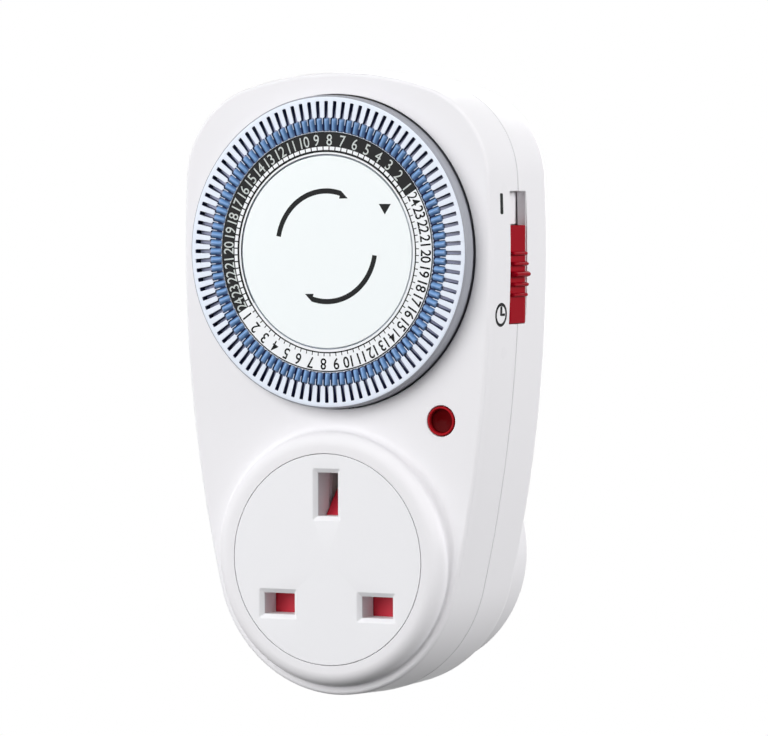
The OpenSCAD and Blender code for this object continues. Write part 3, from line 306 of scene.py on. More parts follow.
def loft_faces(rows, n, offset=0):
    """Faces of a closed solid through rings of n points, with a flat cap on each end."""
    first, last = list(range(offset, offset + n)), list(range(offset + (rows - 1) * n, offset + rows * n))
    return grid_faces(rows, n, False, True, offset).tolist() + [first[::-1], last]


def lofted(name, rings):
    """A closed solid through rings of points (rings x points x 3)."""
    rings = np.asarray(rings, float)
    return make_mesh(name, rings, loft_faces(*rings.shape[:2]))


def shell_rings(s, stations, count):
    """Rings of the outline, one for each (inset, y) station: point minus inset times normal."""
    point, normal = outline(s, count)
    inset, y = np.asarray(stations, float).T[..., None]
    flat = point[None] - inset[..., None] * normal[None]
    return stack(flat[..., 0], y, flat[..., 1])


def welded(mesh, near=1e-7, thin=1e-8, turn_out=False):
    """The mesh with close points merged and thin faces dissolved, its faces turned out if asked."""
    build = bmesh.new()
    build.from_mesh(mesh)
    bmesh.ops.remove_doubles(build, verts=build.verts, dist=near)
    bmesh.ops.dissolve_degenerate(build, edges=build.edges, dist=thin)
    if turn_out:
        bmesh.ops.recalc_face_normals(build, faces=build.faces)
    build.to_mesh(mesh)
    build.free()
    return mesh


def turned(name, profile, centre=(0, 0), count=96):
    """A solid of revolution about a line along Y through centre (x, z). The profile is a closed
    list of (radius, y), and its points with radius 0 become poles."""
    radius, y = np.asarray(profile, float).T[..., None]
    angle = np.linspace(0, TAU, count, endpoint=False)
    points = stack(centre[0] + radius * np.cos(angle), y, centre[1] + radius * np.sin(angle))
    return welded(make_mesh(name, points, grid_faces(len(profile), count, True, True)))


def arc(centre, radius, start, end, steps):
    """Points of an arc, its angles in degrees: centre + radius x (cos, sin)."""
    a = np.radians(np.linspace(start, end, steps + 1))
    radius = np.broadcast_to(radius, 2)
    return stack(centre[0] + radius[0] * np.cos(a), centre[1] + radius[1] * np.sin(a))


def stepped(*places):
    """Corners of a profile that changes its radius and its y in turn: radius, y, radius, y and so
    on. It ends at the last radius if that is left without a y, and else at the first."""
    radii, ys = places[::2], places[1::2]
    return [(r, y) for y, *both in zip(ys, radii, (*radii[1:], radii[0])) for r in both]


def between(middle, half):
    """The two ends of a length about its middle."""
    return (middle - half, middle + half)


def rounded_rectangle(width, height, radius, steps=4):
    """Points round a rectangle with round corners, centred on zero: each corner is a quarter
    circle about a point one radius in from both sides."""
    corners = [(1, 1, 0), (-1, 1, 90), (-1, -1, 180), (1, -1, 270)]
    return np.concatenate([
        arc((sx * (width / 2 - radius), sy * (height / 2 - radius)), radius, a, a + 90, steps)
        for sx, sy, a in corners])


def block(name, xs, ys, zs, edge=0.0):
    """A box between two x, y and z, its long edges along Y rounded by edge."""
    if edge:
        middle = np.array([(xs[0] + xs[1]) / 2, (zs[0] + zs[1]) / 2])
        loop = rounded_rectangle(xs[1] - xs[0], zs[1] - zs[0], edge, 3) + middle
    else:
        loop = np.array([[xs[1], zs[1]], [xs[0], zs[1]], [xs[0], zs[0]], [xs[1], zs[0]]])
    return lofted(name, [stack(loop[:, 0], y, loop[:, 1]) for y in ys])


def add_object(mesh):
    """An object at the origin that shows the mesh."""
    obj = bpy.data.objects.new(mesh.name, mesh)
    bpy.context.scene.collection.objects.link(obj)
    return obj


def seen_mesh(obj):
    """A mesh of the object as its modifiers or its letters make it."""
    return bpy.data.meshes.new_from_object(obj.evaluated_get(bpy.context.evaluated_depsgraph_get()))


def cuts(*meshes):
    """Boolean steps that take the meshes away."""
    return [("DIFFERENCE", mesh) for mesh in meshes]


def carved(obj, steps):
    """The object after exact boolean steps (operation, mesh), in order."""
    tools = []
    for operation, mesh in steps:
        tools.append(add_object(mesh))
        cut = obj.modifiers.new(operation.lower(), "BOOLEAN")
        cut.operation, cut.object, cut.solver = operation, tools[-1], "EXACT"
    old, obj.data = obj.data, seen_mesh(obj)
    obj.modifiers.clear()
    obj.data.name = obj.name
    bpy.data.meshes.remove(old)
    for tool in tools:
        bpy.data.meshes.remove(tool.data)
    return obj


def carved_mesh(mesh, steps):
    """A mesh after boolean steps, for use in another object."""
    obj = carved(add_object(mesh), steps)
    mesh = obj.data
    bpy.data.objects.remove(obj)
    return mesh


def joined(obj, *meshes):
    """The object with closed meshes added to its own as further parts."""
    build = bmesh.new()
    for mesh in (obj.data, *meshes):
        build.from_mesh(mesh)
    build.to_mesh(obj.data)
    build.free()
    return obj


def dress(obj, body, material, slot=None, nodes=(), sharp=35, weigh=True):
    """Finishes a piece: smooth faces, sharp edges above an angle, face-weighted normals, its
    material, its body and the nodes that it stands for, which it hides. The slot argument is not used."""
    mesh = obj.data
    if material:
        mesh.materials.clear()
        mesh.materials.append(finish(material))
    mesh.polygons.foreach_set("use_smooth", np.ones(len(mesh.polygons), bool))
    mesh.set_sharp_from_angle(angle=math.radians(sharp))
    if weigh:
        weighted = obj.modifiers.new("Even shading", "WEIGHTED_NORMAL")
        weighted.keep_sharp, weighted.weight = True, 100
    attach(obj, body)
    if nodes:
        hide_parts(*nodes)


# ---- Finishes ----


def feed(tree, node, inputs):
    """Gives a node its inputs: a socket is linked, and any other value becomes the default."""
    for label, value in inputs.items():
        if isinstance(value, bpy.types.NodeSocket):
            tree.links.new(value, node.inputs[label])
        else:
            node.inputs[label].default_value = value


def add(tree, kind, inputs=None, **settings):
    """Adds a shader node of a kind with its settings and inputs. Returns the node's outputs."""
    node = tree.nodes.new("ShaderNode" + kind)
    for name, value in settings.items():
        setattr(node, name, value)
    feed(tree, node, inputs or {})
    return node.outputs


def surface_group(name, inputs):
    """A new node group for a surface's colour, roughness and normal, with its inputs and its end."""
    tree = bpy.data.node_groups.new(name, "ShaderNodeTree")
    for label, default in {"Color": (0.8, 0.8, 0.8, 1), **inputs}.items():
        kind = "NodeSocketFloat" if isinstance(default, float) else "NodeSocketColor"
        socket = tree.interface.new_socket(name=label, in_out="INPUT", socket_type=kind)
        socket.default_value = default
    for label, kind in (("Color", "Color"), ("Roughness", "Float"), ("Normal", "Vector")):
        tree.interface.new_socket(name=label, in_out="OUTPUT", socket_type="NodeSocket" + kind)
    return tree, tree.nodes.new("NodeGroupInput").outputs, tree.nodes.new("NodeGroupOutput")


def moulded_surface():
    """Colour, roughness and normal of moulded plastic: a faint mottle from large noise, a fine
    grain from small noise as a bump, and a paler line on sharp convex edges that is partly wear and partly a
    painted highlight."""
    if "Moulded surface" in bpy.data.node_groups:
        return bpy.data.node_groups["Moulded surface"]
    tree, start, end = surface_group("Moulded surface", {
        "Roughness": 0.4, "Grain scale": 4000.0, "Grain depth": 0.1, "Mottle": 0.02, "Edge wear": 0.1})
    place = add(tree, "TexCoord")["Object"]
    mottle = add(tree, "TexNoise", {"Scale": 90, "Detail": 3, "Vector": place})["Fac"]
    centred = add(tree, "Math", {0: mottle, 1: 0.5}, operation="SUBTRACT")[0]
    shift = add(tree, "Math", {0: centred, 1: start["Mottle"], 2: 1}, operation="MULTIPLY_ADD")[0]
    tint = add(tree, "HueSaturation", {"Color": start["Color"], "Value": shift})["Color"]
    bend = add(tree, "NewGeometry")["Pointiness"]
    # Pale sharp convex edges: partly wear and partly a painted highlight.
    edge = add(tree, "MapRange", {"From Min": 0.52, "From Max": 0.62, "Value": bend})["Result"]
    wear_and_sheen = add(tree, "Math", {0: edge, 1: start["Edge wear"]}, operation="MULTIPLY")[0]
    pale = {"Factor": wear_and_sheen, "A": tint, "B": (0.92, 0.92, 0.92, 1)}
    tone = add(tree, "Mix", pale, data_type="RGBA")["Result"]
    rough = add(tree, "Math", {0: centred, 1: 0.12, 2: start["Roughness"]}, operation="MULTIPLY_ADD")
    grain = add(tree, "TexNoise", {"Detail": 2, "Vector": place, "Scale": start["Grain scale"]})["Fac"]
    bump = add(tree, "Bump", {"Distance": 0.00002, "Strength": start["Grain depth"], "Height": grain})
    feed(tree, end, {"Color": tone, "Roughness": rough[0], "Normal": bump[0]})
    return tree


def brushed_surface():
    """Colour, roughness and normal of drawn metal: noise stretched along one axis gives fine
    lines in colour and height."""
    if "Drawn metal" in bpy.data.node_groups:
        return bpy.data.node_groups["Drawn metal"]
    tree, start, end = surface_group("Drawn metal", {
        "Dark": (0.5, 0.5, 0.5, 1), "Roughness": 0.3, "Line scale": 900.0})
    place = add(tree, "TexCoord")["Object"]
    along = add(tree, "Mapping", {"Scale": (1, 0.06, 1), "Vector": place})["Vector"]
    lines = add(tree, "TexNoise", {"Detail": 4, "Vector": along, "Scale": start["Line scale"]})["Fac"]
    tones = {"Factor": lines, "A": start["Dark"], "B": start["Color"]}
    tone = add(tree, "Mix", tones, data_type="RGBA")["Result"]
    rough = add(tree, "Math", {0: lines, 1: 0.15, 2: start["Roughness"]}, operation="MULTIPLY_ADD")
    bump = add(tree, "Bump", {"Strength": 0.15, "Distance": 0.00003, "Height": lines})
    feed(tree, end, {"Color": tone, "Roughness": rough[0], "Normal": bump[0]})
    return tree


def new_material(name, group, rgb, values, constants):
    """A material whose Principled shader takes colour, roughness and normal from a node group.
    Values go to the group's inputs and constants to the shader's own sockets."""
    material = bpy.data.materials.new(name)
    material.use_nodes = True
    material.diffuse_color = (*rgb, 1)
    tree = material.node_tree
    surface = add(tree, "Group", {"Color": (*rgb, 1), **values}, node_tree=group)
    feed(tree, tree.nodes["Principled BSDF"], {
        **constants, "Base Color": surface["Color"], "Roughness": surface["Roughness"],
        "Normal": surface["Normal"]})
    return material


def plastic(name, rgb, roughness, depth, mottle, wear_and_sheen=0.05, constants=None, scale=4000.0):
    """A moulded plastic in the given colour, which may be the name of a finish's setting."""
    rgb = getattr(bpy.context.scene.timer_finishes, rgb) if isinstance(rgb, str) else rgb
    values = {
        "Roughness": roughness, "Grain depth": depth, "Mottle": mottle, "Edge wear": wear_and_sheen,
        "Grain scale": scale}
    return new_material(name, moulded_surface(), rgb, values, {"IOR": 1.5, **(constants or {})})


def metal(name, rgb, dark, roughness):
    """A drawn metal in two tones."""
    values = {"Dark": (*dark, 1), "Roughness": roughness, "Line scale": 900.0}
    return new_material(name, brushed_surface(), rgb, values, {"Metallic": 1.0})


def mixed_colour(material, mask, first, second):
    """Gives the material's surface a mix of two colours by a mask."""
    tree = material.node_tree
    mix = add(tree, "Mix", {"Factor": mask, "A": (*first, 1), "B": (*second, 1)}, data_type="RGBA")
    feed(tree, tree.nodes["Group"], {"Color": mix["Result"]})
    return material


def tappet_blue_with_painted_shade(name):
    """Blue plastic with painted shade: it darkens with its depth below the dial's face, where the slots are
    in shade. The mask is the object's Y, turned from 0 at one depth to 1 at another."""
    d, f = bpy.context.scene.timer_dial, bpy.context.scene.timer_finishes
    material = plastic(name, f.blue_plastic, 0.24, 0.15, 0.12, 0.25, {SHINE: 0.25})
    tree = material.node_tree
    y = add(tree, "SeparateXYZ", {0: add(tree, "TexCoord")["Object"]})["Y"]
    # The mask of the painted shade, from the depth below the dial's face.
    reach = {"From Min": -d.face + 0.45 * MM, "From Max": -d.face + 0.6 * MM, "Value": y}
    return mixed_colour(material, add(tree, "MapRange", reach)["Result"], f.blue_plastic, f.deep_blue)


def lens_red(name):
    """Clear red plastic with painted light and shade: a painted dark middle and a painted bright ring where
    the rim gathers light.
    The mask is the distance from the lamp's line, turned from dark to bright over the rim's width."""
    c = bpy.context.scene.timer_controls
    material = plastic(name, "red_lens", 0.25, 0.05, 0.05, 0.0, {"IOR": 1.08})
    tree = material.node_tree
    centring = {
        "Location": (-c.lamp_x, 0, -c.lamp_z), "Scale": (1, 0, 1), "Vector": add(tree, "TexCoord")["Object"]}
    flat = add(tree, "Mapping", centring)["Vector"]
    distance = add(tree, "VectorMath", {0: flat}, operation="LENGTH")["Value"]
    rim = {"From Min": c.lens_r * 0.76, "From Max": c.lens_r * 0.8, "Value": distance}
    # Painted shade in the middle and painted light on the rim.
    deep, painted_bright_rim = (0.085, 0.001, 0.002), (0.38, 0.011, 0.017)
    return mixed_colour(material, add(tree, "MapRange", rim)["Result"], deep, painted_bright_rim)


SHINE = "Specular IOR Level"
# Colour, roughness, grain depth, mottle, edge wear and painted edge highlight, the shader's constants and
# grain scale.
PLASTICS = {
    "Glossy white shell": ("white_shell", 0.3, 0.06, 0.0, 0.0, {"IOR": 1.1}),
    "Satin socket face": ("grey_face", 0.5, 0.1, 0.01, 0.0, {SHINE: 0.3}),
    "Dial white": ("dial_white", 0.32, 0.05, 0.012, 0.0, {SHINE: 0.25}),
    "Painted rim shade": ("dial_rim", 0.4, 0.05, 0.012, 0.0, {SHINE: 0.2}),
    "Painted slot shade": ("slot_shade", 0.5, 0.05, 0.02, 0.0, {SHINE: 0.1}),
    "Cap foil": ("cap_white", 0.42, 0.08, 0.012, 0.1, {SHINE: 0.3}),
    "Slider red": ("red_plastic", 0.3, 0.15, 0.12, 0.0, {"IOR": 1.08}),
    "Shutter red with painted light": ("red_shutter", 0.45, 0.1, 0.05, 0.0, {"IOR": 1.3}),
    "Printed black": ("print_black", 0.45, 0.05, 0.05, 0.0, {"IOR": 1.2}),
    "Printed white": ("print_white", 0.45, 0.05, 0.01, 0.0, {SHINE: 0.2}),
    "Printed grey": ("print_grey", 0.45, 0.05, 0.01, 0.0, {"IOR": 1.3}),
    "Ring black": ("print_black", 0.4, 0.05, 0.1, 0.0, {"IOR": 1.2}),
    "Natural nylon": ((0.72, 0.68, 0.55), 0.5, 0.2, 0.05),
    "Black moulding": ((0.02, 0.02, 0.022), 0.5, 0.3, 0.1),
    "Winding": ((0.35, 0.09, 0.03), 0.35, 0.5, 0.3, 0.05, {}, 2500.0),
    "Ferrite": ((0.03, 0.03, 0.032), 0.6, 0.5, 0.2),
    "Resistor coat": ((0.45, 0.3, 0.14), 0.5, 0.3, 0.1),
    "Wire cover": ((0.12, 0.12, 0.125), 0.5, 0.2, 0.1),
    "Lamp glass": ((0.95, 0.8, 0.65), 0.05, 0.1, 0.02, 0.05, {"Transmission Weight": 0.9}),
}
# Colour, dark tone and roughness.
METALS = {
    "Zinc plate": ((0.62, 0.63, 0.65), (0.42, 0.43, 0.45), 0.28),
    "Bright brass": ((0.78, 0.6, 0.28), (0.6, 0.43, 0.17), 0.2),
}
SLOT_FINISH = {
    "white_shell": "Glossy white shell", "grey_face": "Satin socket face", "black_print": "Printed black",
    "blue_plastic": "Tappet blue", "red_plastic": "Slider red", "red_lens": "Lens red",
    "lamp_glass": "Lamp glass", "zinc_steel": "Zinc plate", "brass": "Bright brass",
    "black_plastic": "Black moulding", "nylon": "Natural nylon", "copper_coil": "Winding",
    "magnet": "Ferrite", "resistor_body": "Resistor coat", "wire_cover": "Wire cover",
}


def finish(name):
    """The material of this name, made once."""
    if name in bpy.data.materials:
        return bpy.data.materials[name]
    if name in PLASTICS:
        return plastic(name, *PLASTICS[name])
    if name in METALS:
        return metal(name, *METALS[name])
    return {"Tappet blue": tappet_blue_with_painted_shade, "Lens red": lens_red}[name](name)


# ---- Pieces ----


def three_ways(k, flat, upright):
    """Centre and size (x, z, width, height) of the two level openings and of the upright one."""
    return [(side * k.pin_x, -k.pin_drop, *flat) for side in (-1, 1)] + [(0, k.earth_z, *upright)]


class TIMER_OT_front_shell(bpy.types.Operator):
    """Front shell with the dial's opening, the lamp hole, the side slot and the socket's collar"""

    bl_idname = "timer.front_shell"
    bl_label = "Front Shell"

    def execute(self, context):
        s, k, d, c, p = sizes(context)
        front, parting, inner = p.front, p.parting, p.inner_front
        outer = [
            *arc((s.seam - s.draft, parting - s.seam - s.seam_gap), s.seam, 90, 180, 4),
            *arc((s.front_round, front + s.front_round), s.front_round, 180, 270, 8)]
        shell = add_object(lofted("front_shell", shell_rings(s, outer, OUTER_POINTS)))
        inset, inner_round = s.wall - s.draft, 0.6 * MM
        cavity = [
            (inset, parting + MM), (inset, parting),
            *arc((s.wall + inner_round, inner + inner_round), inner_round, 180, 270, 3)]
        bore = stepped(0, front - MM, k.face_r + MM, inner + 2 * MM)
        steps = cuts(lofted("cavity", shell_rings(s, cavity, INNER_POINTS)), turned("bore", bore))
        steps.append(("UNION", self.collar(s, k, p)))
        dial_gap, dial_flare, lamp_gap, lamp_flare = 0.22 * MM, 0.15 * MM, 0.1 * MM, 0.2 * MM
        steps += cuts(
            mouth(front, d.dial_r + dial_gap, dial_flare, (0, d.centre_z), 192),
            mouth(front, c.lens_r + lamp_gap, lamp_flare, (c.lamp_x, c.lamp_z), 64),
            slot_cutter(s, c),
            block("pocket", p.pocket_x, (parting - p.pocket_reach, parting + MM), p.pocket_z),
            block("shutter_way", between(0, 15.43 * MM), (p.shutter, p.carrier), (-17.5 * MM, -k.pin_drop)))
        carved(shell, steps)
        root, floor = inner - 0.4 * MM, inner + 0.8 * MM
        bosses = [
            (at, stepped(0, root, 2.3 * MM, p.plate if at[1] > d.centre_z else parting, 1.3 * MM, floor))
            for at in p.screws]
        bosses += [(at, stepped(0, root, 2.4 * MM, p.plate, 0.9 * MM, floor)) for at in p.posts]
        half, slot_end = c.track_w / 2 + 0.3 * MM, c.track_z + c.track_len
        slot_floor = block(
            "slot_floor", (p.pad - 0.08 * MM, p.pad), between(parting, half),
            (c.track_z + c.grip_len + 0.3 * MM, slot_end - 0.1 * MM))
        joined(shell, slot_floor, *(turned("boss", profile, at, 24) for at, profile in bosses))
        dress(shell, "case", "Glossy white shell", "white_shell", ["front_housing"], 32)
        return {"FINISHED"}

    def collar(self, s, k, p):
        """The collar as a profile carried round the socket. Its shoulder is a quarter ellipse that
        ends in a hollow fillet on the front plane, and the fillet shrinks to nothing where the
        front plane has no room for it beside the collar."""
        n = 240
        angle = np.linspace(0, TAU, n, endpoint=False)
        point, _ = outline(s, 2400)
        reach = np.hypot(point[:, 0], point[:, 1])
        heading = np.arctan2(point[:, 1], point[:, 0]) % TAU
        order = np.argsort(heading)
        edge = np.interp(angle, heading[order], reach[order], period=TAU)
        room = edge - s.front_round - k.collar_r
        f = np.clip(0.55 * (room - 0.1 * MM), 0.0, k.foot)[None]
        top, front = p.face, p.front
        a = np.radians(np.linspace(0, 90, 11))[:, None]

        def around(radius, y):
            return np.broadcast_to(stack(np.array(radius), y)[:, None], (len(y), n, 2))

        bore_r, back_r = k.face_r + np.array([0.1, 0.1, 0.14, 0.22]) * MM, k.face_r + 2 * MM
        shoulder_y = top + (front - top - f) * (1 - np.cos(a))
        profile = np.concatenate([
            around(bore_r, [p.carrier_back, top + 0.12 * MM, top + 0.03 * MM, top]),
            stack(k.collar_r - k.shoulder * (1 - np.sin(a)), shoulder_y),
            stack(k.collar_r + f * (1 - np.cos(a)), front - f * (1 - np.sin(a)))[1:],
            stack(k.collar_r + f, front + 0.4 * MM),
            around(back_r, [p.inner_front, p.carrier_back])])
        radius, y = profile[..., 0], profile[..., 1]
        points = stack(radius * np.cos(angle), y, radius * np.sin(angle))
        return welded(make_mesh("collar", points, grid_faces(len(profile), n, True, True)))


def mouth(plane, radius, flare, centre, count):
    """A round cutter along Y whose mouth opens at the plane in a convex quarter circle, so that
    the hole's edge is rounded."""
    a = np.radians(np.linspace(0, 90, 5))
    rounding = stack(radius + flare * (1 - np.cos(a)), plane + flare * (1 - np.sin(a)))
    end = plane + 4 * MM
    profile = [(0, end), (radius, end), *rounding, (radius + flare, plane - MM), (0, plane - MM)]
    return turned("mouth", profile, centre, count)


def slot_cutter(s, c):
    """The cutter of the slider's slot: a rounded rectangle in Y and Z carried out through the side
    wall, which widens in a quarter circle at the wall's own curved surface."""
    loop = rounded_rectangle(c.track_w, c.track_len, 0.25 * MM, 3)
    y, z = loop[:, 0] - s.parting, loop[:, 1] + c.track_z + c.track_len / 2
    straight = np.array([c.track_w / 2, c.track_len / 2]) - 0.26 * MM
    normal = np.sign(loop) * (np.abs(loop) > straight)
    normal /= np.maximum(np.linalg.norm(normal, axis=1), 1)[:, None]
    flare = 0.22 * MM
    surface = side_x(s, y, z)
    rings = [stack(s.half_width - 5.25 * MM, y, z)]
    for a in np.radians([0, 30, 60, 90]):
        out = flare * (1 - math.cos(a))
        x = surface - flare * (1 - math.sin(a))
        rings.append(stack(x, y + normal[:, 0] * out, z + normal[:, 1] * out))
    rings.append(stack(s.half_width + 2 * MM, *rings[-1][:, 1:].T))
    return lofted("slot", rings)


class TIMER_OT_rear_shell(bpy.types.Operator):
    """Rear shell with the plug body, the screw recesses and the slider's guide"""

    bl_idname = "timer.rear_shell"
    bl_label = "Rear Shell"

    def execute(self, context):
        s, k, _, c, p = sizes(context)
        parting, back, inner, r = p.parting, p.back, p.inner_back, s.rear_round
        outer = [
            *arc((s.seam - s.draft, parting + s.seam + s.seam_gap), s.seam, 270, 180, 4),
            *arc((r, back - r), r, 180, 90, 12)]
        form = shell_rings(s, outer, OUTER_POINTS)
        inset, inner_round = s.wall - s.draft, (0.75 * r, 0.72 * r)
        cavity = [
            (inset, parting - MM), (inset, parting), (s.wall, back - r),
            *arc((s.wall + inner_round[0], inner - inner_round[1]), inner_round, 180, 90, 5)]
        fillet, plug_round, plug_root = 0.8 * MM, 1.5 * MM, inner + 0.5 * MM
        plug = [
            (0, 0), *arc((s.plug_r - plug_round, -plug_round), plug_round, 90, 0, 6),
            *arc((s.plug_r + fillet, back + fillet), fillet, 180, 270, 5),
            (s.plug_r + fillet, plug_root), (0, plug_root)]
        plug_room = stepped(0, inner - MM, s.plug_r - s.wall, -3 * MM)
        shank_r, head_r, column_r, head_depth = 1.3 * MM, 2.6 * MM, 3.9 * MM, 9 * MM
        recess = stepped(0, parting - 5 * MM, shank_r, back - head_depth, head_r, back + MM)
        column = stepped(0, parting, column_r, back)
        steps = cuts(lofted("cavity", shell_rings(s, cavity, INNER_POINTS)))
        for at in p.screws:
            inside = carved_mesh(turned("column", column, at, 48), [("INTERSECT", lofted("form", form))])
            steps.append(("UNION", inside))
        steps.append(("UNION", turned("plug", plug, count=192)))
        steps += cuts(
            turned("plug_room", plug_room), slot_cutter(s, c),
            block("pocket", p.pocket_x, (parting - MM, parting + p.pocket_reach), p.pocket_z),
            *(turned("recess", recess, at, 48) for at in p.screws))
        flat_pin, earth_pin = (6.35 * MM, 3.975 * MM), (3.975 * MM, 7.925 * MM)
        for x, z, w, h in three_ways(k, flat_pin, earth_pin):
            steps += cuts(block("pin_hole", between(x, w / 2), (-4 * MM, MM), between(z, h / 2)))
        shell = carved(add_object(lofted("rear_shell", form)), steps)
        rail = block(
            "guide", p.guide, (p.plate, plug_root), (c.track_z - 13 * MM, c.track_z + c.track_len + 3.7 * MM))
        window = block(
            "window", (p.guide[0] - MM, p.guide[1] + MM), (p.plate - MM, p.plate + 2.6 * MM),
            (c.track_z - 11 * MM, c.track_z - 0.2 * MM))
        ear_y, ear_z = (p.lever_axis[0] - 2 * MM, plug_root), between(p.lever_axis[1], 2 * MM)
        ears = [
            block("ear", (x, x + 1.8 * MM), ear_y, ear_z, 0.4 * MM)
            for x in (p.lever_x[0] - 2 * MM, p.lever_x[1] + 0.2 * MM)]
        joined(shell, carved_mesh(rail, cuts(window)), *ears)
        dress(shell, "case", "Glossy white shell", "white_shell", ["rear_housing"], 32)
        return {"FINISHED"}


class TIMER_OT_socket_face(bpy.types.Operator):
    """Socket face plate with its three bevelled apertures"""

    bl_idname = "timer.socket_face"
    bl_label = "Socket Face"

    def execute(self, context):
        _, k, _, _, p = sizes(context)
        top, under, r = p.face, p.shutter, 0.12 * MM
        disc = [(0, top), *arc((k.face_r - r, top + r), r, -90, 0, 4), (k.face_r, under), (0, under)]
        ramp_way = block(
            "ramp_way", between(0, 2.3 * MM), (top + 3.8 * MM, under + 0.6 * MM), (2.4 * MM, 13 * MM))
        level, upright = (6.9 * MM, 4.25 * MM), (4.5 * MM, 8.65 * MM)
        face = add_object(turned("socket_plate", disc, count=192))
        apertures = [self.aperture(k.bevel, top, *way) for way in three_ways(k, level, upright)]
        carved(face, cuts(*apertures, ramp_way))
        dress(face, "case", "Satin socket face", "grey_face", ["socket_face"], 20)
        return {"FINISHED"}

    def aperture(self, bevel, top, x, z, w, h):
        """The cutter of one aperture: a rounded rectangle that narrows along a straight bevel with
        a small rounding where the bevel meets the face."""
        foot = top + 0.8 * bevel
        rings = []
        for grow, y in (
                (bevel + 0.12 * MM, top - MM), (bevel + 0.12 * MM, top), (bevel + 0.02 * MM, top + 0.03 * MM),
                (bevel - 0.08 * MM, top + 0.1 * MM), (0.04 * MM, foot - 0.02 * MM), (0, foot + 0.05 * MM),
                (0, top + 7 * MM)):
            loop = rounded_rectangle(w + 2 * grow, h + 2 * grow, 0.12 * MM + 0.25 * grow, 3)
            rings.append(stack(x + loop[:, 0], y, z + loop[:, 1]))
        return lofted("aperture", rings)


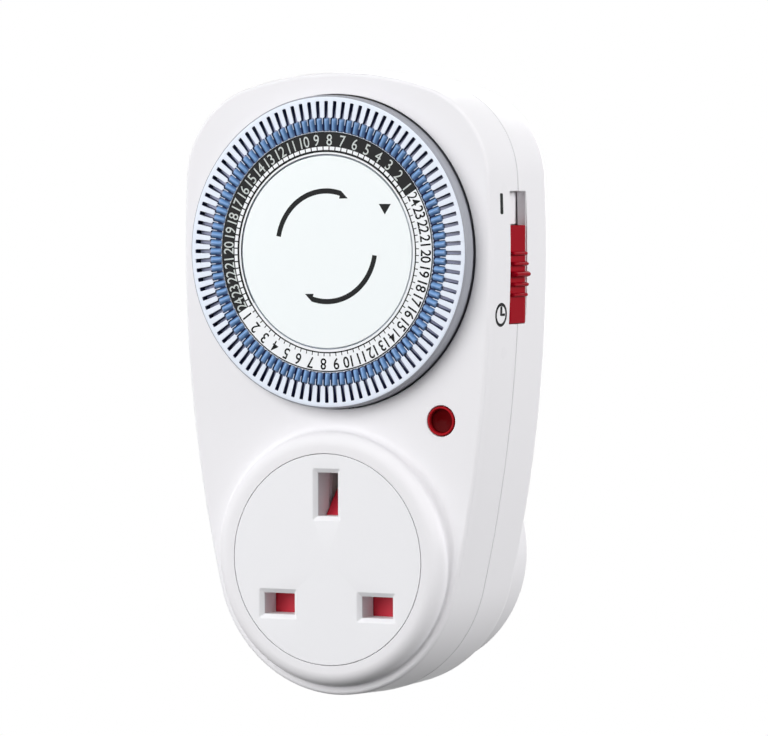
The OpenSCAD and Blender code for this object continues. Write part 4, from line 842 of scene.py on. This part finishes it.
class TIMER_OT_dial(bpy.types.Operator):
    """Slotted dial with its skirt and hub"""

    bl_idname = "timer.dial"
    bl_label = "Dial"

    def execute(self, context):
        _, _, d, _, p = sizes(context)
        half, faces = self.sector(d, p.skirt - 0.4 * MM)
        both = np.concatenate([half, half * np.array([1, 1, -1])])
        faces = np.concatenate([faces, faces[:, ::-1] + len(half)])
        sector = np.arange(d.tappets)[:, None]
        x, z = spun(both[:, 0], both[:, 2], TAU * sector / d.tappets)
        every = (faces + (sector * len(both))[..., None]).reshape(-1, 4)
        plate = make_mesh("dial_plate", stack(x, both[:, 1], z + d.centre_z), every)
        dial = add_object(welded(plate, 2e-6, 1e-7, True))
        hub = stepped(
            4.05 * MM, p.dial + 1.3 * MM, d.ring_r + 0.3 * MM, p.dial + 2.4 * MM, 7.8 * MM,
            p.skirt - 2.6 * MM, 6 * MM, p.skirt - 0.1 * MM)
        skirt = stepped(21.6 * MM, p.dial + 1.9 * MM, 24 * MM, p.skirt)
        at = (0, d.centre_z)
        joined(dial, turned("hub", hub, at, 72), turned("skirt", skirt, at, 96))
        dress(dial, "dial", "Dial white", "white_shell", ["dial_disc"], 32)
        self.shade_slots(dial.data, d)
        return {"FINISHED"}

    def shade_slots(self, mesh, d):
        """Paints shade on the white dial: the slots' upright walls and the thin bars between the heads get a
        dark painted shade, and the outer band a grey painted shade, chosen by the faces' direction and
        distance from the centre."""
        mesh.materials.append(finish("Painted slot shade"))
        mesh.materials.append(finish("Painted rim shade"))
        centre = np.array([q.center[:] for q in mesh.polygons])
        upright = np.abs(np.array([q.normal[1] for q in mesh.polygons])) < 0.3
        depth = centre[:, 1] + d.face
        reach = np.hypot(centre[:, 0], centre[:, 2] - d.centre_z)
        past_start = reach - d.slot_inner_r
        inside = (past_start > -0.05 * MM) & (reach < d.slot_r + 0.05 * MM) & (depth < 2 * MM)
        # Painted shade goes on the slot walls and on the thin bars between the heads.
        bars = (past_start > 0.02 * MM) & (past_start < 1.35 * MM)
        # Painted shade: the outer band of the white dial gets the grey rim shade.
        outside = (reach > d.dial_r - 0.5 * MM) & (depth > 0.08 * MM)
        kind = ((upright | bars) & inside) + 2 * outside
        mesh.polygons.foreach_set("material_index", kind.astype(np.int32))

    def sector(self, d, skirt):
        """Half of one slot's sector, as points in (radius, y, sideways) and four-sided faces. Rows
        run round the slot's edge and columns from the edge to the line half-way to the next slot;
        the slot's walls go down from the edge, and the rim turns over into the outer skirt."""
        half = math.pi / d.tappets
        face, under, e = -d.face, -d.face + 2 * MM, 0.07 * MM
        p, w, s0, s1, s2 = d.pocket_half, d.slot_half, d.slot_inner_r, d.pocket_r, d.slot_r
        edge = np.array([
            (s0, 0), (s0, p * 0.55), (s0 + 0.12 * MM, p * 0.82), (s0 + 0.35 * MM, p * 0.92),
            (s0 + 1.4 * MM, p * 0.96), (s1 - 0.15 * MM, p), (s1, p * 0.85), (s1 + 0.04 * MM, w + 0.06 * MM),
            (s1 + 0.25 * MM, w), (s2 - 0.12 * MM, w), (s2, w * 0.8), (s2, 0)])
        out = np.array([
            (-1, 0), (-0.9, 0.4), (-0.6, 0.8), (0, 1), (0, 1), (0, 1), (0.5, 0.7), (0.8, 0.5), (0, 1), (0, 1),
            (0.6, 0.8), (1, 0)])
        wide = edge + e * out
        wide[[0, -1], 1] = 0
        radius = np.hypot(wide[:, 0], wide[:, 1])
        border = stack(radius * math.cos(half), radius * math.sin(half))
        strip = [
            (border, face), (wide, face), (edge, face + e), (edge, under), (wide, under), (border, under)]
        points = [np.concatenate([stack(flat[:, 0], y, flat[:, 1]) for flat, y in strip])]
        faces = [grid_faces(len(strip), len(edge), False, False)]
        first, last = radius[0], radius[-1]
        bead, neck, lip = face + 3.2 * MM, d.dial_r - 0.35 * MM, d.dial_r - 0.85 * MM
        outer = [
            (last, face), *arc((d.dial_r - 0.7 * MM, face + 0.6 * MM), (0.7 * MM, 0.6 * MM), -90, 0, 6),
            (d.dial_r, bead - 0.15 * MM), (d.dial_r - 0.15 * MM, bead), (neck, bead + 0.1 * MM),
            (neck, skirt), (lip, skirt), (lip, under), (last, under)]
        sunk = face + 0.2 * MM
        inner = [
            (first, under), (d.ring_r, under), (d.ring_r, sunk), (d.number_r, sunk),
            (d.number_r, face + 0.06 * MM), (d.number_r + 0.06 * MM, face), (first, face)]
        for profile in (outer, inner):
            offset = sum(len(p) for p in points)
            r, y = np.array(profile).T
            rows = [stack(r, y, 0), stack(r * math.cos(half), y, r * math.sin(half))]
            points.append(np.stack(rows, axis=1).reshape(-1, 3))
            faces.append(grid_faces(len(profile), 2, False, False, offset)[:, ::-1])
        return np.concatenate(points), np.concatenate(faces)


class TIMER_OT_tappets(bpy.types.Operator):
    """Twelve groups of eight tappets"""

    bl_idname = "timer.tappets"
    bl_label = "Tappets"

    def execute(self, context):
        d = context.scene.timer_dial
        groups = 12
        size = d.tappets // groups
        parts = [np.array(self.head(d)), np.array(self.fin(d))]
        for g in range(groups):
            points, faces, offset = [], [], 0
            for rings in parts:
                rows, n = rings.shape[:2]
                for a in TAU * (g * size + np.arange(size)) / d.tappets:
                    x, z = spun(rings[..., 0], rings[..., 2], a)
                    points.append(stack(x, rings[..., 1], z + d.centre_z).reshape(-1, 3))
                    faces += loft_faces(rows, n, offset)
                    offset += rows * n
            piece = add_object(make_mesh(f"tappet_set_{g + 1}", np.concatenate(points), faces))
            dress(piece, f"tappets_{g + 1}", "Tappet blue", "blue_plastic", [f"tappets_{g + 1}"], 40)
        return {"FINISHED"}

    def head(self, d):
        """Rings of a gabled head that points along +X. Across the head its top rises from two eaves
        to a rounded ridge; along the head the ridge climbs outwards and drops off at the outer end."""
        half = d.pocket_half - 0.04 * MM
        across = np.array([1, 0.55, 0.2, 0, -0.2, -0.55, -1])
        rise = np.array([0, 0.48, 0.84, 0.9, 0.84, 0.48, 0])
        rings = []
        for r, height, width in (
                (0.1, 0.4, 0.78), (0.35, 0.66, 0.9), (1.1, 0.82, 0.94), (2.0, 1, 0.98), (2.35, 0.95, 1),
                (2.6, 0.5, 0.96)):
            z = np.append(half * width * across, [-half * width, half * width])
            y = np.append((0.5 - height * rise) * MM, [1.9 * MM, 1.9 * MM])
            rings.append(stack(d.slot_inner_r + r * MM, y - d.face, z))
        return rings

    def fin(self, d):
        """The thin fin behind the head: an outline in radius and depth between two flat sides."""
        r0, r1, r2 = d.slot_inner_r + 0.15 * MM, d.slot_inner_r + 2.6 * MM, d.slot_r - 0.45 * MM
        r, y = (np.array([(r0, 0.6), (r1, 0.6), (r2, 1.3), (r2, 8), (r0, 8)]) * (1, MM) - (0, d.face)).T
        return [stack(r, y, z * MM) for z in (-0.3, 0.3)]


def print_mesh(name, shapes, lay):
    """Closed thin prints. Each shape is a list of flat points, anticlockwise, and lay turns it
    into its lower and its upper layer."""
    points, faces = [], []
    for shape in shapes:
        faces += loft_faces(2, len(shape), sum(len(p) for p in points))
        points += lay(np.asarray(shape, float))
    return make_mesh(name, np.concatenate(points), faces)


def flat_print(name, shapes, centre_z, face, body, ink):
    """A piece of thin prints on a face towards -Y. Each shape's points (x, z) count from the line
    at height centre_z."""
    y = face + PRINT_LIFT
    mesh = print_mesh(name, shapes, lambda q: [
        stack(q[:, 0], level, q[:, 1] + centre_z) for level in (y, y - PRINT_DEPTH)])
    dress(add_object(mesh), body, ink, "black_print", weigh=False)


def arc_band(r0, r1, a0, a1):
    """The outline of a piece of a ring between two radii and two angles."""
    a = np.array([a0, a1])
    return np.concatenate([polar(r1, a), polar(r0, a)[::-1]])


class TIMER_OT_number_ring(bpy.types.Operator):
    """Number ring, half black and half white, with its numbers, ticks and border lines"""

    bl_idname = "timer.number_ring"
    bl_label = "Number Ring"

    def execute(self, context):
        d = context.scene.timer_dial
        face, start, pitch = -d.face, d.print_turn, TAU / d.tappets
        disc = stepped(d.ring_r, face, d.number_r - 0.02 * MM, face + 0.2 * MM)
        ring = add_object(turned("number_disc", disc, (0, d.centre_z), 192))
        polygons = ring.data.polygons
        centre = np.array([q.center[:] for q in polygons])
        angle = np.arctan2(centre[:, 2] - d.centre_z, centre[:, 0])
        dress(ring, "dial", None, "black_print", ["number_ring"], 40, weigh=False)
        ring.data.materials.append(finish("Printed white"))
        ring.data.materials.append(finish("Ring black"))
        black = (angle - start) % TAU < np.pi
        polygons.foreach_set("material_index", black.astype(np.int32))
        white_tick, black_tick = (20.3 * MM, 20.98 * MM), (20.1 * MM, 20.75 * MM)
        inner_line, outer_line = (19.88 * MM, 20.15 * MM), (23.62 * MM, 23.86 * MM)
        white_line = (19.5 * MM, 19.86 * MM)
        blacks, whites = [], []
        for i in range(d.tappets):
            a = start + pitch * (i + 0.5)
            if i < d.tappets // 2:
                whites.append(arc_band(*white_tick, *between(a, 0.41 * pitch)))
            else:
                blacks.append(arc_band(*black_tick, a - 0.5 * pitch, a - 0.36 * pitch))
        turns = np.linspace(start + np.pi, start + TAU, 61)
        for a, b in zip(turns[:-1], turns[1:]):
            blacks += [arc_band(*inner_line, a, b), arc_band(*outer_line, a, b)]
            whites.append(arc_band(*white_line, a - np.pi, b - np.pi))
        flat_print("black_ring_print", blacks, d.centre_z, face, "dial", "Printed black")
        flat_print("white_ring_print", whites, d.centre_z, face, "dial", "Printed white")
        self.numbers(d, "white_numbers", start, "Printed grey")
        self.numbers(d, "black_numbers", start + np.pi, "Printed black")
        return {"FINISHED"}

    def numbers(self, d, name, start, ink):
        """The numbers 1 to 24, anticlockwise from start, their tops outwards: each is set upright
        at the origin, then turned by its angle less a quarter turn and moved out."""
        meshes = []
        baseline, narrowing, step = 21.2 * MM, 0.88, TAU / 48
        for i in range(24):
            words = bpy.data.curves.new("number", "FONT")
            words.body, words.size, words.align_x = str(i + 1), 3.2 * MM, "CENTER"
            words.resolution_u, words.extrude, words.space_character = 3, 0.008 * MM, 0.9
            bold = 0.015 if "4" in words.body else 0.045
            words.offset = (bold if ink == "Printed black" else 0.0) * MM
            holder = bpy.data.objects.new("number", words)
            bpy.context.scene.collection.objects.link(holder)
            mesh = seen_mesh(holder)
            bpy.data.objects.remove(holder)
            points = np.empty(len(mesh.vertices) * 3)
            mesh.vertices.foreach_get("co", points)
            x, z, lift = points.reshape(-1, 3).T
            x, z = spun(x * narrowing, z + baseline, start + step * (i + 0.5) - np.pi / 2)
            placed = stack(x, -d.face - PRINT_LIFT - lift, z + d.centre_z)
            mesh.vertices.foreach_set("co", placed.ravel())
            meshes.append(mesh)
        piece = add_object(bpy.data.meshes.new(name))
        joined(piece, *meshes)
        dress(piece, "dial", ink, "black_print", weigh=False)


class TIMER_OT_centre_cap(bpy.types.Operator):
    """Fixed centre cap with its two direction arrows and the time mark"""

    bl_idname = "timer.centre_cap"
    bl_label = "Centre Cap"

    def execute(self, context):
        d = context.scene.timer_dial
        face, edge = -d.face, 0.15 * MM
        profile = [
            (0, face), *arc((d.cap_r - edge, face + edge), edge, -90, 0, 3),
            *stepped(d.cap_r, face + 1.1 * MM, 2 * MM, face + 9.8 * MM, 0)]
        cap = add_object(turned("cap", profile, (0, d.centre_z), 160))
        dress(cap, "case", "Cap foil", "white_shell", ["centre_cap"], 32)
        mark = polar(15.2 * MM, math.radians(30)) + np.array([(-1.35, 0.85), (0, -1.25), (1.35, 0.85)]) * MM
        shapes = [*self.arrow(170, 73), *self.arrow(-9, -107), mark]
        flat_print("cap_print", shapes, d.centre_z + 1.15 * MM, face, "case", "Printed black")
        return {"FINISHED"}

    def arrow(self, start, stop):
        """A clockwise arc with a barb on its inner side: short pieces of a ring, then a triangle."""
        r, w = 11 * MM, 0.52 * MM
        a = np.radians(np.linspace(start, stop, 25))
        bands = [arc_band(r - w, r + w, q, p) for p, q in zip(a[:-1], a[1:])]
        end, tip = a[-1], a[-1] - math.radians(10)
        barb = [polar(r + w, end), polar(r - 2.1 * w, end), polar(r - 0.6 * w, tip)]
        return [*bands, np.array(barb)]


class TIMER_OT_lens(bpy.types.Operator):
    """Red lens of the neon lamp"""

    bl_idname = "timer.lens"
    bl_label = "Lamp Lens"

    def execute(self, context):
        _, _, _, c, p = sizes(context)
        top, inner, r = p.front - 0.2 * MM, p.inner_front, c.lens_r
        flange, sleeve = (r + 0.9 * MM, inner + 0.8 * MM), (r - 0.1 * MM, inner + 2.2 * MM)
        bore = (r - 0.8 * MM, p.front + 1.4 * MM)
        profile = [
            *arc((0, top), (0.75 * r, 1.25 * MM), 90, 50, 4),
            *arc((0.7 * r, top + 0.75 * MM), 0.18 * MM, 60, 0, 3), (0.83 * r, top + 0.2 * MM),
            *arc((0.9 * r, top + 0.2 * MM), (0.07 * r, 0.2 * MM), 180, 360, 6),
            *stepped(r, inner, *flange, *sleeve, *bore, 0)]
        lens = add_object(turned("lens", profile, (c.lamp_x, c.lamp_z), 72))
        dress(lens, "case", "Lens red", "red_lens", ["neon_lens"], 50)
        return {"FINISHED"}


class TIMER_OT_slider(bpy.types.Operator):
    """Red mode slider with its finger ribs"""

    bl_idname = "timer.slider"
    bl_label = "Mode Slider"

    def execute(self, context):
        _, _, _, c, p = sizes(context)
        parting, half, low = p.parting, c.track_w / 2 - 0.1 * MM, c.track_z + 0.1 * MM
        high, cam_low = low + c.grip_len, p.cam_z[0]
        grip_xs, foot_end = (p.flange[1] - 0.2 * MM, p.grip), p.flange[0] + 0.01 * MM
        grip = add_object(self.bar_x(
            "slider", grip_xs, parting, low + c.grip_len / 2, 2 * half, c.grip_len, 0.25 * MM))
        steps = cuts(block(
            "room", (p.flange[1], p.pad + 0.1 * MM), (parting - half - MM, parting + half + MM),
            (high - 6.9 * MM, high + MM)))
        for i, (reach, thick) in enumerate(((0.8, 0.4), (1.05, 0.42), (1.5, 0.6), (1.05, 0.42), (0.8, 0.4))):
            z = c.track_z + 9.9 * MM + (i - 2) * c.rib_pitch
            steps.append(("UNION", self.rib(parting, half - 0.3 * MM, z, p.grip, reach * MM, thick * MM)))
        carved(grip, steps)
        flange = self.bar_x(
            "flange", p.flange, parting, (cam_low + high) / 2, c.track_w + 3 * MM, high - cam_low, 0.4 * MM)
        foot_xs, foot_ys = (p.lever_x[1] - 1.6 * MM, foot_end), (p.plate, p.plate_back - 0.1 * MM)
        foot = block("foot", foot_xs, foot_ys, p.cam_z, 0.3 * MM)
        link = block("link", (p.flange[0], p.flange[0] + MM), (p.plate, parting), p.cam_z, 0.2 * MM)
        joined(grip, flange, foot, link)
        dress(grip, "slider", "Slider red", "red_plastic", ["mode_slider"], 35)
        return {"FINISHED"}

    def bar_x(self, name, xs, y, z, width, height, edge):
        """A block that stands out along X: rounded rectangles in Y and Z that shrink in a quarter
        circle at the outer end."""
        stations = [(xs[0], 0)]
        for a in np.radians([0, 30, 60, 90]):
            stations.append((xs[1] - edge * (1 - math.sin(a)), edge * (1 - math.cos(a))))
        rings = []
        for x, shrink in stations:
            round_r = max(edge - shrink, 0.06 * MM)
            loop = rounded_rectangle(width - 2 * shrink, height - 2 * shrink, round_r, 3)
            rings.append(stack(x, loop[:, 0] + y, loop[:, 1] + z))
        return lofted(name, rings)

    def rib(self, y, half, z, x, reach, r):
        """One finger rib: half of a long oval in X and Z, drawn along Y with rounded ends."""
        a = np.radians(np.linspace(-90, 90, 11))
        root = x - 0.5 * MM
        side = np.array([(root, -r), *stack(x + reach * np.cos(a) ** 0.7, r * np.sin(a)), (root, r)])
        rings = []
        for end, shrink in (
                (-half, 0.18), (-half + 0.18 * MM, 0.04), (-half + 0.4 * MM, 0), (half - 0.4 * MM, 0),
                (half - 0.18 * MM, 0.04), (half, 0.18)):
            scale = 1 - shrink
            rings.append(stack(root + (side[:, 0] - x + 0.5 * MM) * scale, y + end, z + side[:, 1] * scale))
        return lofted("rib", rings)


class TIMER_OT_legends(bpy.types.Operator):
    """On bar and clock sign printed on the side wall"""

    bl_idname = "timer.legends"
    bl_label = "Side Legends"

    def execute(self, context):
        s = context.scene.timer_shell
        bar, clock, hand = np.array([-32, 70.9]) * MM, np.array([-32, 49]) * MM, 0.75 * MM
        a = np.linspace(0, TAU, 49)
        shapes = [
            rounded_rectangle(1.2 * MM, 4.15 * MM, 0.3 * MM, 4) + bar,
            *(arc_band(1.75 * MM, 2.38 * MM, p, q) + clock for p, q in zip(a[:-1], a[1:])),
            rounded_rectangle(0.85 * MM, 1.9 * MM, 0.15 * MM, 2) + clock + np.array([0, hand]),
            rounded_rectangle(1.75 * MM, 0.5 * MM, 0.15 * MM, 2) + clock + np.array([hand, 0])]
        mesh = print_mesh("side_legends", shapes, lambda q: [
            stack(side_x(s, *q.T) + lift, *q.T) for lift in (-0.03 * MM, 0.015 * MM)])
        dress(add_object(mesh), "case", "Printed black", "black_print", weigh=False)
        return {"FINISHED"}


class TIMER_OT_frame_finishes(bpy.types.Operator):
    """Finishes of the parts that keep their frame shape: pins, contacts, motor, gears and wires"""

    bl_idname = "timer.frame_finishes"
    bl_label = "Inner Parts' Finishes"

    def execute(self, context):
        for name, obj in frame["nodes"].items():
            # The shutter takes the brighter red copy, which is painted light.
            special = "Shutter red with painted light" if name == "shutter" else SLOT_FINISH[SLOTS[name]]
            obj.data.materials.clear()
            obj.data.materials.append(finish(special))
        return {"FINISHED"}


class TIMER_OT_springs(bpy.types.Operator):
    """Copies of the shutter's and the lever's springs, and the switch's plunger"""

    bl_idname = "timer.springs"
    bl_label = "Springs and Plunger"

    def execute(self, context):
        for name, joint, along, end, keep in (
                ("shutter_spring", "shutter_slide", 2, np.min, 0.42),
                ("lever_spring", "lever_tilt", 1, np.max, 0.85)):
            mesh = frame["nodes"][name].data.copy()
            mesh.name = "closing_" + name
            spring = add_object(mesh)
            dress(spring, "case", SLOT_FINISH[SLOTS[name]], SLOTS[name], [name], weigh=False)
            points = np.array([v.co for v in mesh.vertices])
            anchor = points.mean(axis=0)
            anchor[along] = end(points[:, along])
            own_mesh(spring)
        points = np.array([v.co for v in frame["nodes"]["switch_plunger"].data.vertices])
        low, high = points.min(axis=0), points.max(axis=0)
        (x, _, z), r, tip = (low + high) / 2, (high[0] - low[0]) / 2, 0.4 * MM
        near, far = low[1] + 0.05 * MM, high[1]
        profile = [(0, near), *arc((r - tip, near + tip), tip, 270, 360, 6), (r, far), (0, far)]
        plunger = add_object(turned("plunger", profile, (x, z), 48))
        slot = SLOTS["switch_plunger"]
        dress(plunger, "plunger", SLOT_FINISH[slot], slot, ["switch_plunger"])
        return {"FINISHED"}


class TIMER_OT_stage(bpy.types.Operator):
    """Pale floor, soft lights, white surroundings and the camera"""

    bl_idname = "timer.stage"
    bl_label = "Stage"

    def execute(self, context):
        scene = context.scene
        floor = add_object(bpy.data.meshes.new("floor"))
        reach, low = 3.0, -0.075
        corners = [(x * reach, y * reach, low) for x, y in ((-1, -1), (1, -1), (1, 1), (-1, 1))]
        floor.data.from_pydata(corners, [], [(0, 1, 2, 3)])
        floor.data.materials.append(self.floor_material())
        self.surroundings(scene)
        for name, place, aim, size, power in (
                ("Key", (-0.43, -0.98, 0.33), (0, 0, 0.05), 1.2, 17.6),
                ("Fill", (1.35, 0.1, 0.42), (0, 0, 0.02), 0.8, 17.6),
                ("Top", (0.0, -0.3, 1.5), (0, 0, 0.05), 0.8, 0.5),
                ("Back", (-0.3, 1.3, 0.35), (0, 0, 0.05), 0.8, 9)):
            lamp = bpy.data.lights.new(name, "AREA")
            lamp.size, lamp.energy = size, power
            away = np.array(place) - np.array(aim)
            away /= np.linalg.norm(away)
            right = np.cross([0, 0, 1], away)
            right /= np.linalg.norm(right)
            self.stand(lamp, right, np.cross(away, right), away, place)
        camera = bpy.data.cameras.new("Camera")
        camera.lens, camera.sensor_width, camera.clip_end = 234.375, 36, 100
        right = (0.8840199708, 0.4674454293, -0.0018605883)
        up = (-0.0166879324, 0.0355370239, 0.9992290192)
        back = (0.4671511576, -0.8833073591, 0.0392161365)
        scene.camera = self.stand(camera, right, up, back, (0.4748489, -0.9139323, 0.0772316))
        scene.view_settings.view_transform = "Standard"
        return {"FINISHED"}

    def stand(self, data, right, up, back, place):
        """An object for a light or camera, its own axes along right, up and back, at a place."""
        holder = bpy.data.objects.new(data.name, data)
        bpy.context.scene.collection.objects.link(holder)
        rows = np.array([right, up, back, place], float).T.tolist()
        holder.matrix_world = Matrix([*rows, [0, 0, 0, 1]])
        return holder

    def seen_rays(self, tree):
        """One for the camera's own rays and for reflected and transmitted ones, zero for all other."""
        path = add(tree, "LightPath")
        total = path["Is Camera Ray"]
        for ray in ("Is Glossy Ray", "Is Transmission Ray"):
            total = add(tree, "Math", {0: total, 1: path[ray]}, operation="ADD", use_clamp=True)[0]
        return total

    def floor_material(self):
        """White where the camera or a reflection looks, a dim diffuse floor for all other light."""
        material = bpy.data.materials.new("Pale floor")
        material.use_nodes = True
        tree = material.node_tree
        tree.nodes.clear()
        dim = add(tree, "BsdfDiffuse", {"Color": (0.08, 0.08, 0.08, 1)})[0]
        mix = {"Fac": self.seen_rays(tree), 1: dim, 2: add(tree, "Emission")[0]}
        add(tree, "OutputMaterial", {"Surface": add(tree, "MixShader", mix)[0]})
        return material

    def surroundings(self, scene):
        """Soft light that is brighter from above, and plain white where the camera looks."""
        world = bpy.data.worlds.new("Soft room")
        scene.world = world
        world.use_nodes = True
        tree = world.node_tree
        tree.nodes.clear()
        height = add(tree, "SeparateXYZ", {0: add(tree, "TexCoord")["Generated"]})["Z"]
        reach = {"From Min": -0.2, "From Max": 0.7, "To Min": 0.08, "To Max": 0.24, "Value": height}
        strength = add(tree, "MapRange", reach)["Result"]
        white = {"Color": (1, 1, 1, 1)}
        room = add(tree, "Background", {**white, "Strength": strength})[0]
        mix = {"Fac": self.seen_rays(tree), 1: room, 2: add(tree, "Background", white)[0]}
        add(tree, "OutputWorld", {"Surface": add(tree, "MixShader", mix)[0]})


class TIMER_PT_panel(bpy.types.Panel):
    """Sizes, finishes and pieces of the timer"""

    bl_idname = "TIMER_PT_panel"
    bl_label = "Plug-in Timer"
    bl_space_type = "VIEW_3D"
    bl_region_type = "UI"
    bl_category = "Timer"

    def draw(self, context):
        for group in GROUPS:
            box = self.layout.box()
            settings = getattr(context.scene, group)
            for prop in settings.bl_rna.properties:
                if prop.identifier not in ("rna_type", "name"):
                    box.prop(settings, prop.identifier)
        for operator in OPERATORS:
            self.layout.operator(operator.bl_idname)


GROUPS = {
    "timer_shell": ShellSizes, "timer_socket": SocketSizes, "timer_dial": DialSizes,
    "timer_controls": ControlSizes, "timer_finishes": Finishes,
}
OPERATORS = (
    TIMER_OT_frame_finishes, TIMER_OT_front_shell, TIMER_OT_rear_shell, TIMER_OT_socket_face, TIMER_OT_dial,
    TIMER_OT_tappets, TIMER_OT_number_ring, TIMER_OT_centre_cap, TIMER_OT_lens, TIMER_OT_slider,
    TIMER_OT_legends, TIMER_OT_springs, TIMER_OT_stage,
)


def register():
    for cls in (*GROUPS.values(), *OPERATORS, TIMER_PT_panel):
        bpy.utils.register_class(cls)
    for name, cls in GROUPS.items():
        setattr(bpy.types.Scene, name, bpy.props.PointerProperty(type=cls))


def unregister():
    for name in GROUPS:
        delattr(bpy.types.Scene, name)
    for cls in (TIMER_PT_panel, *reversed(OPERATORS), *GROUPS.values()):
        bpy.utils.unregister_class(cls)


def main():
    """Builds every piece in order."""
    register()
    for operator in OPERATORS:
        getattr(bpy.ops.timer, operator.bl_idname.split(".")[1])()


if __name__ == "__main__":
    main()
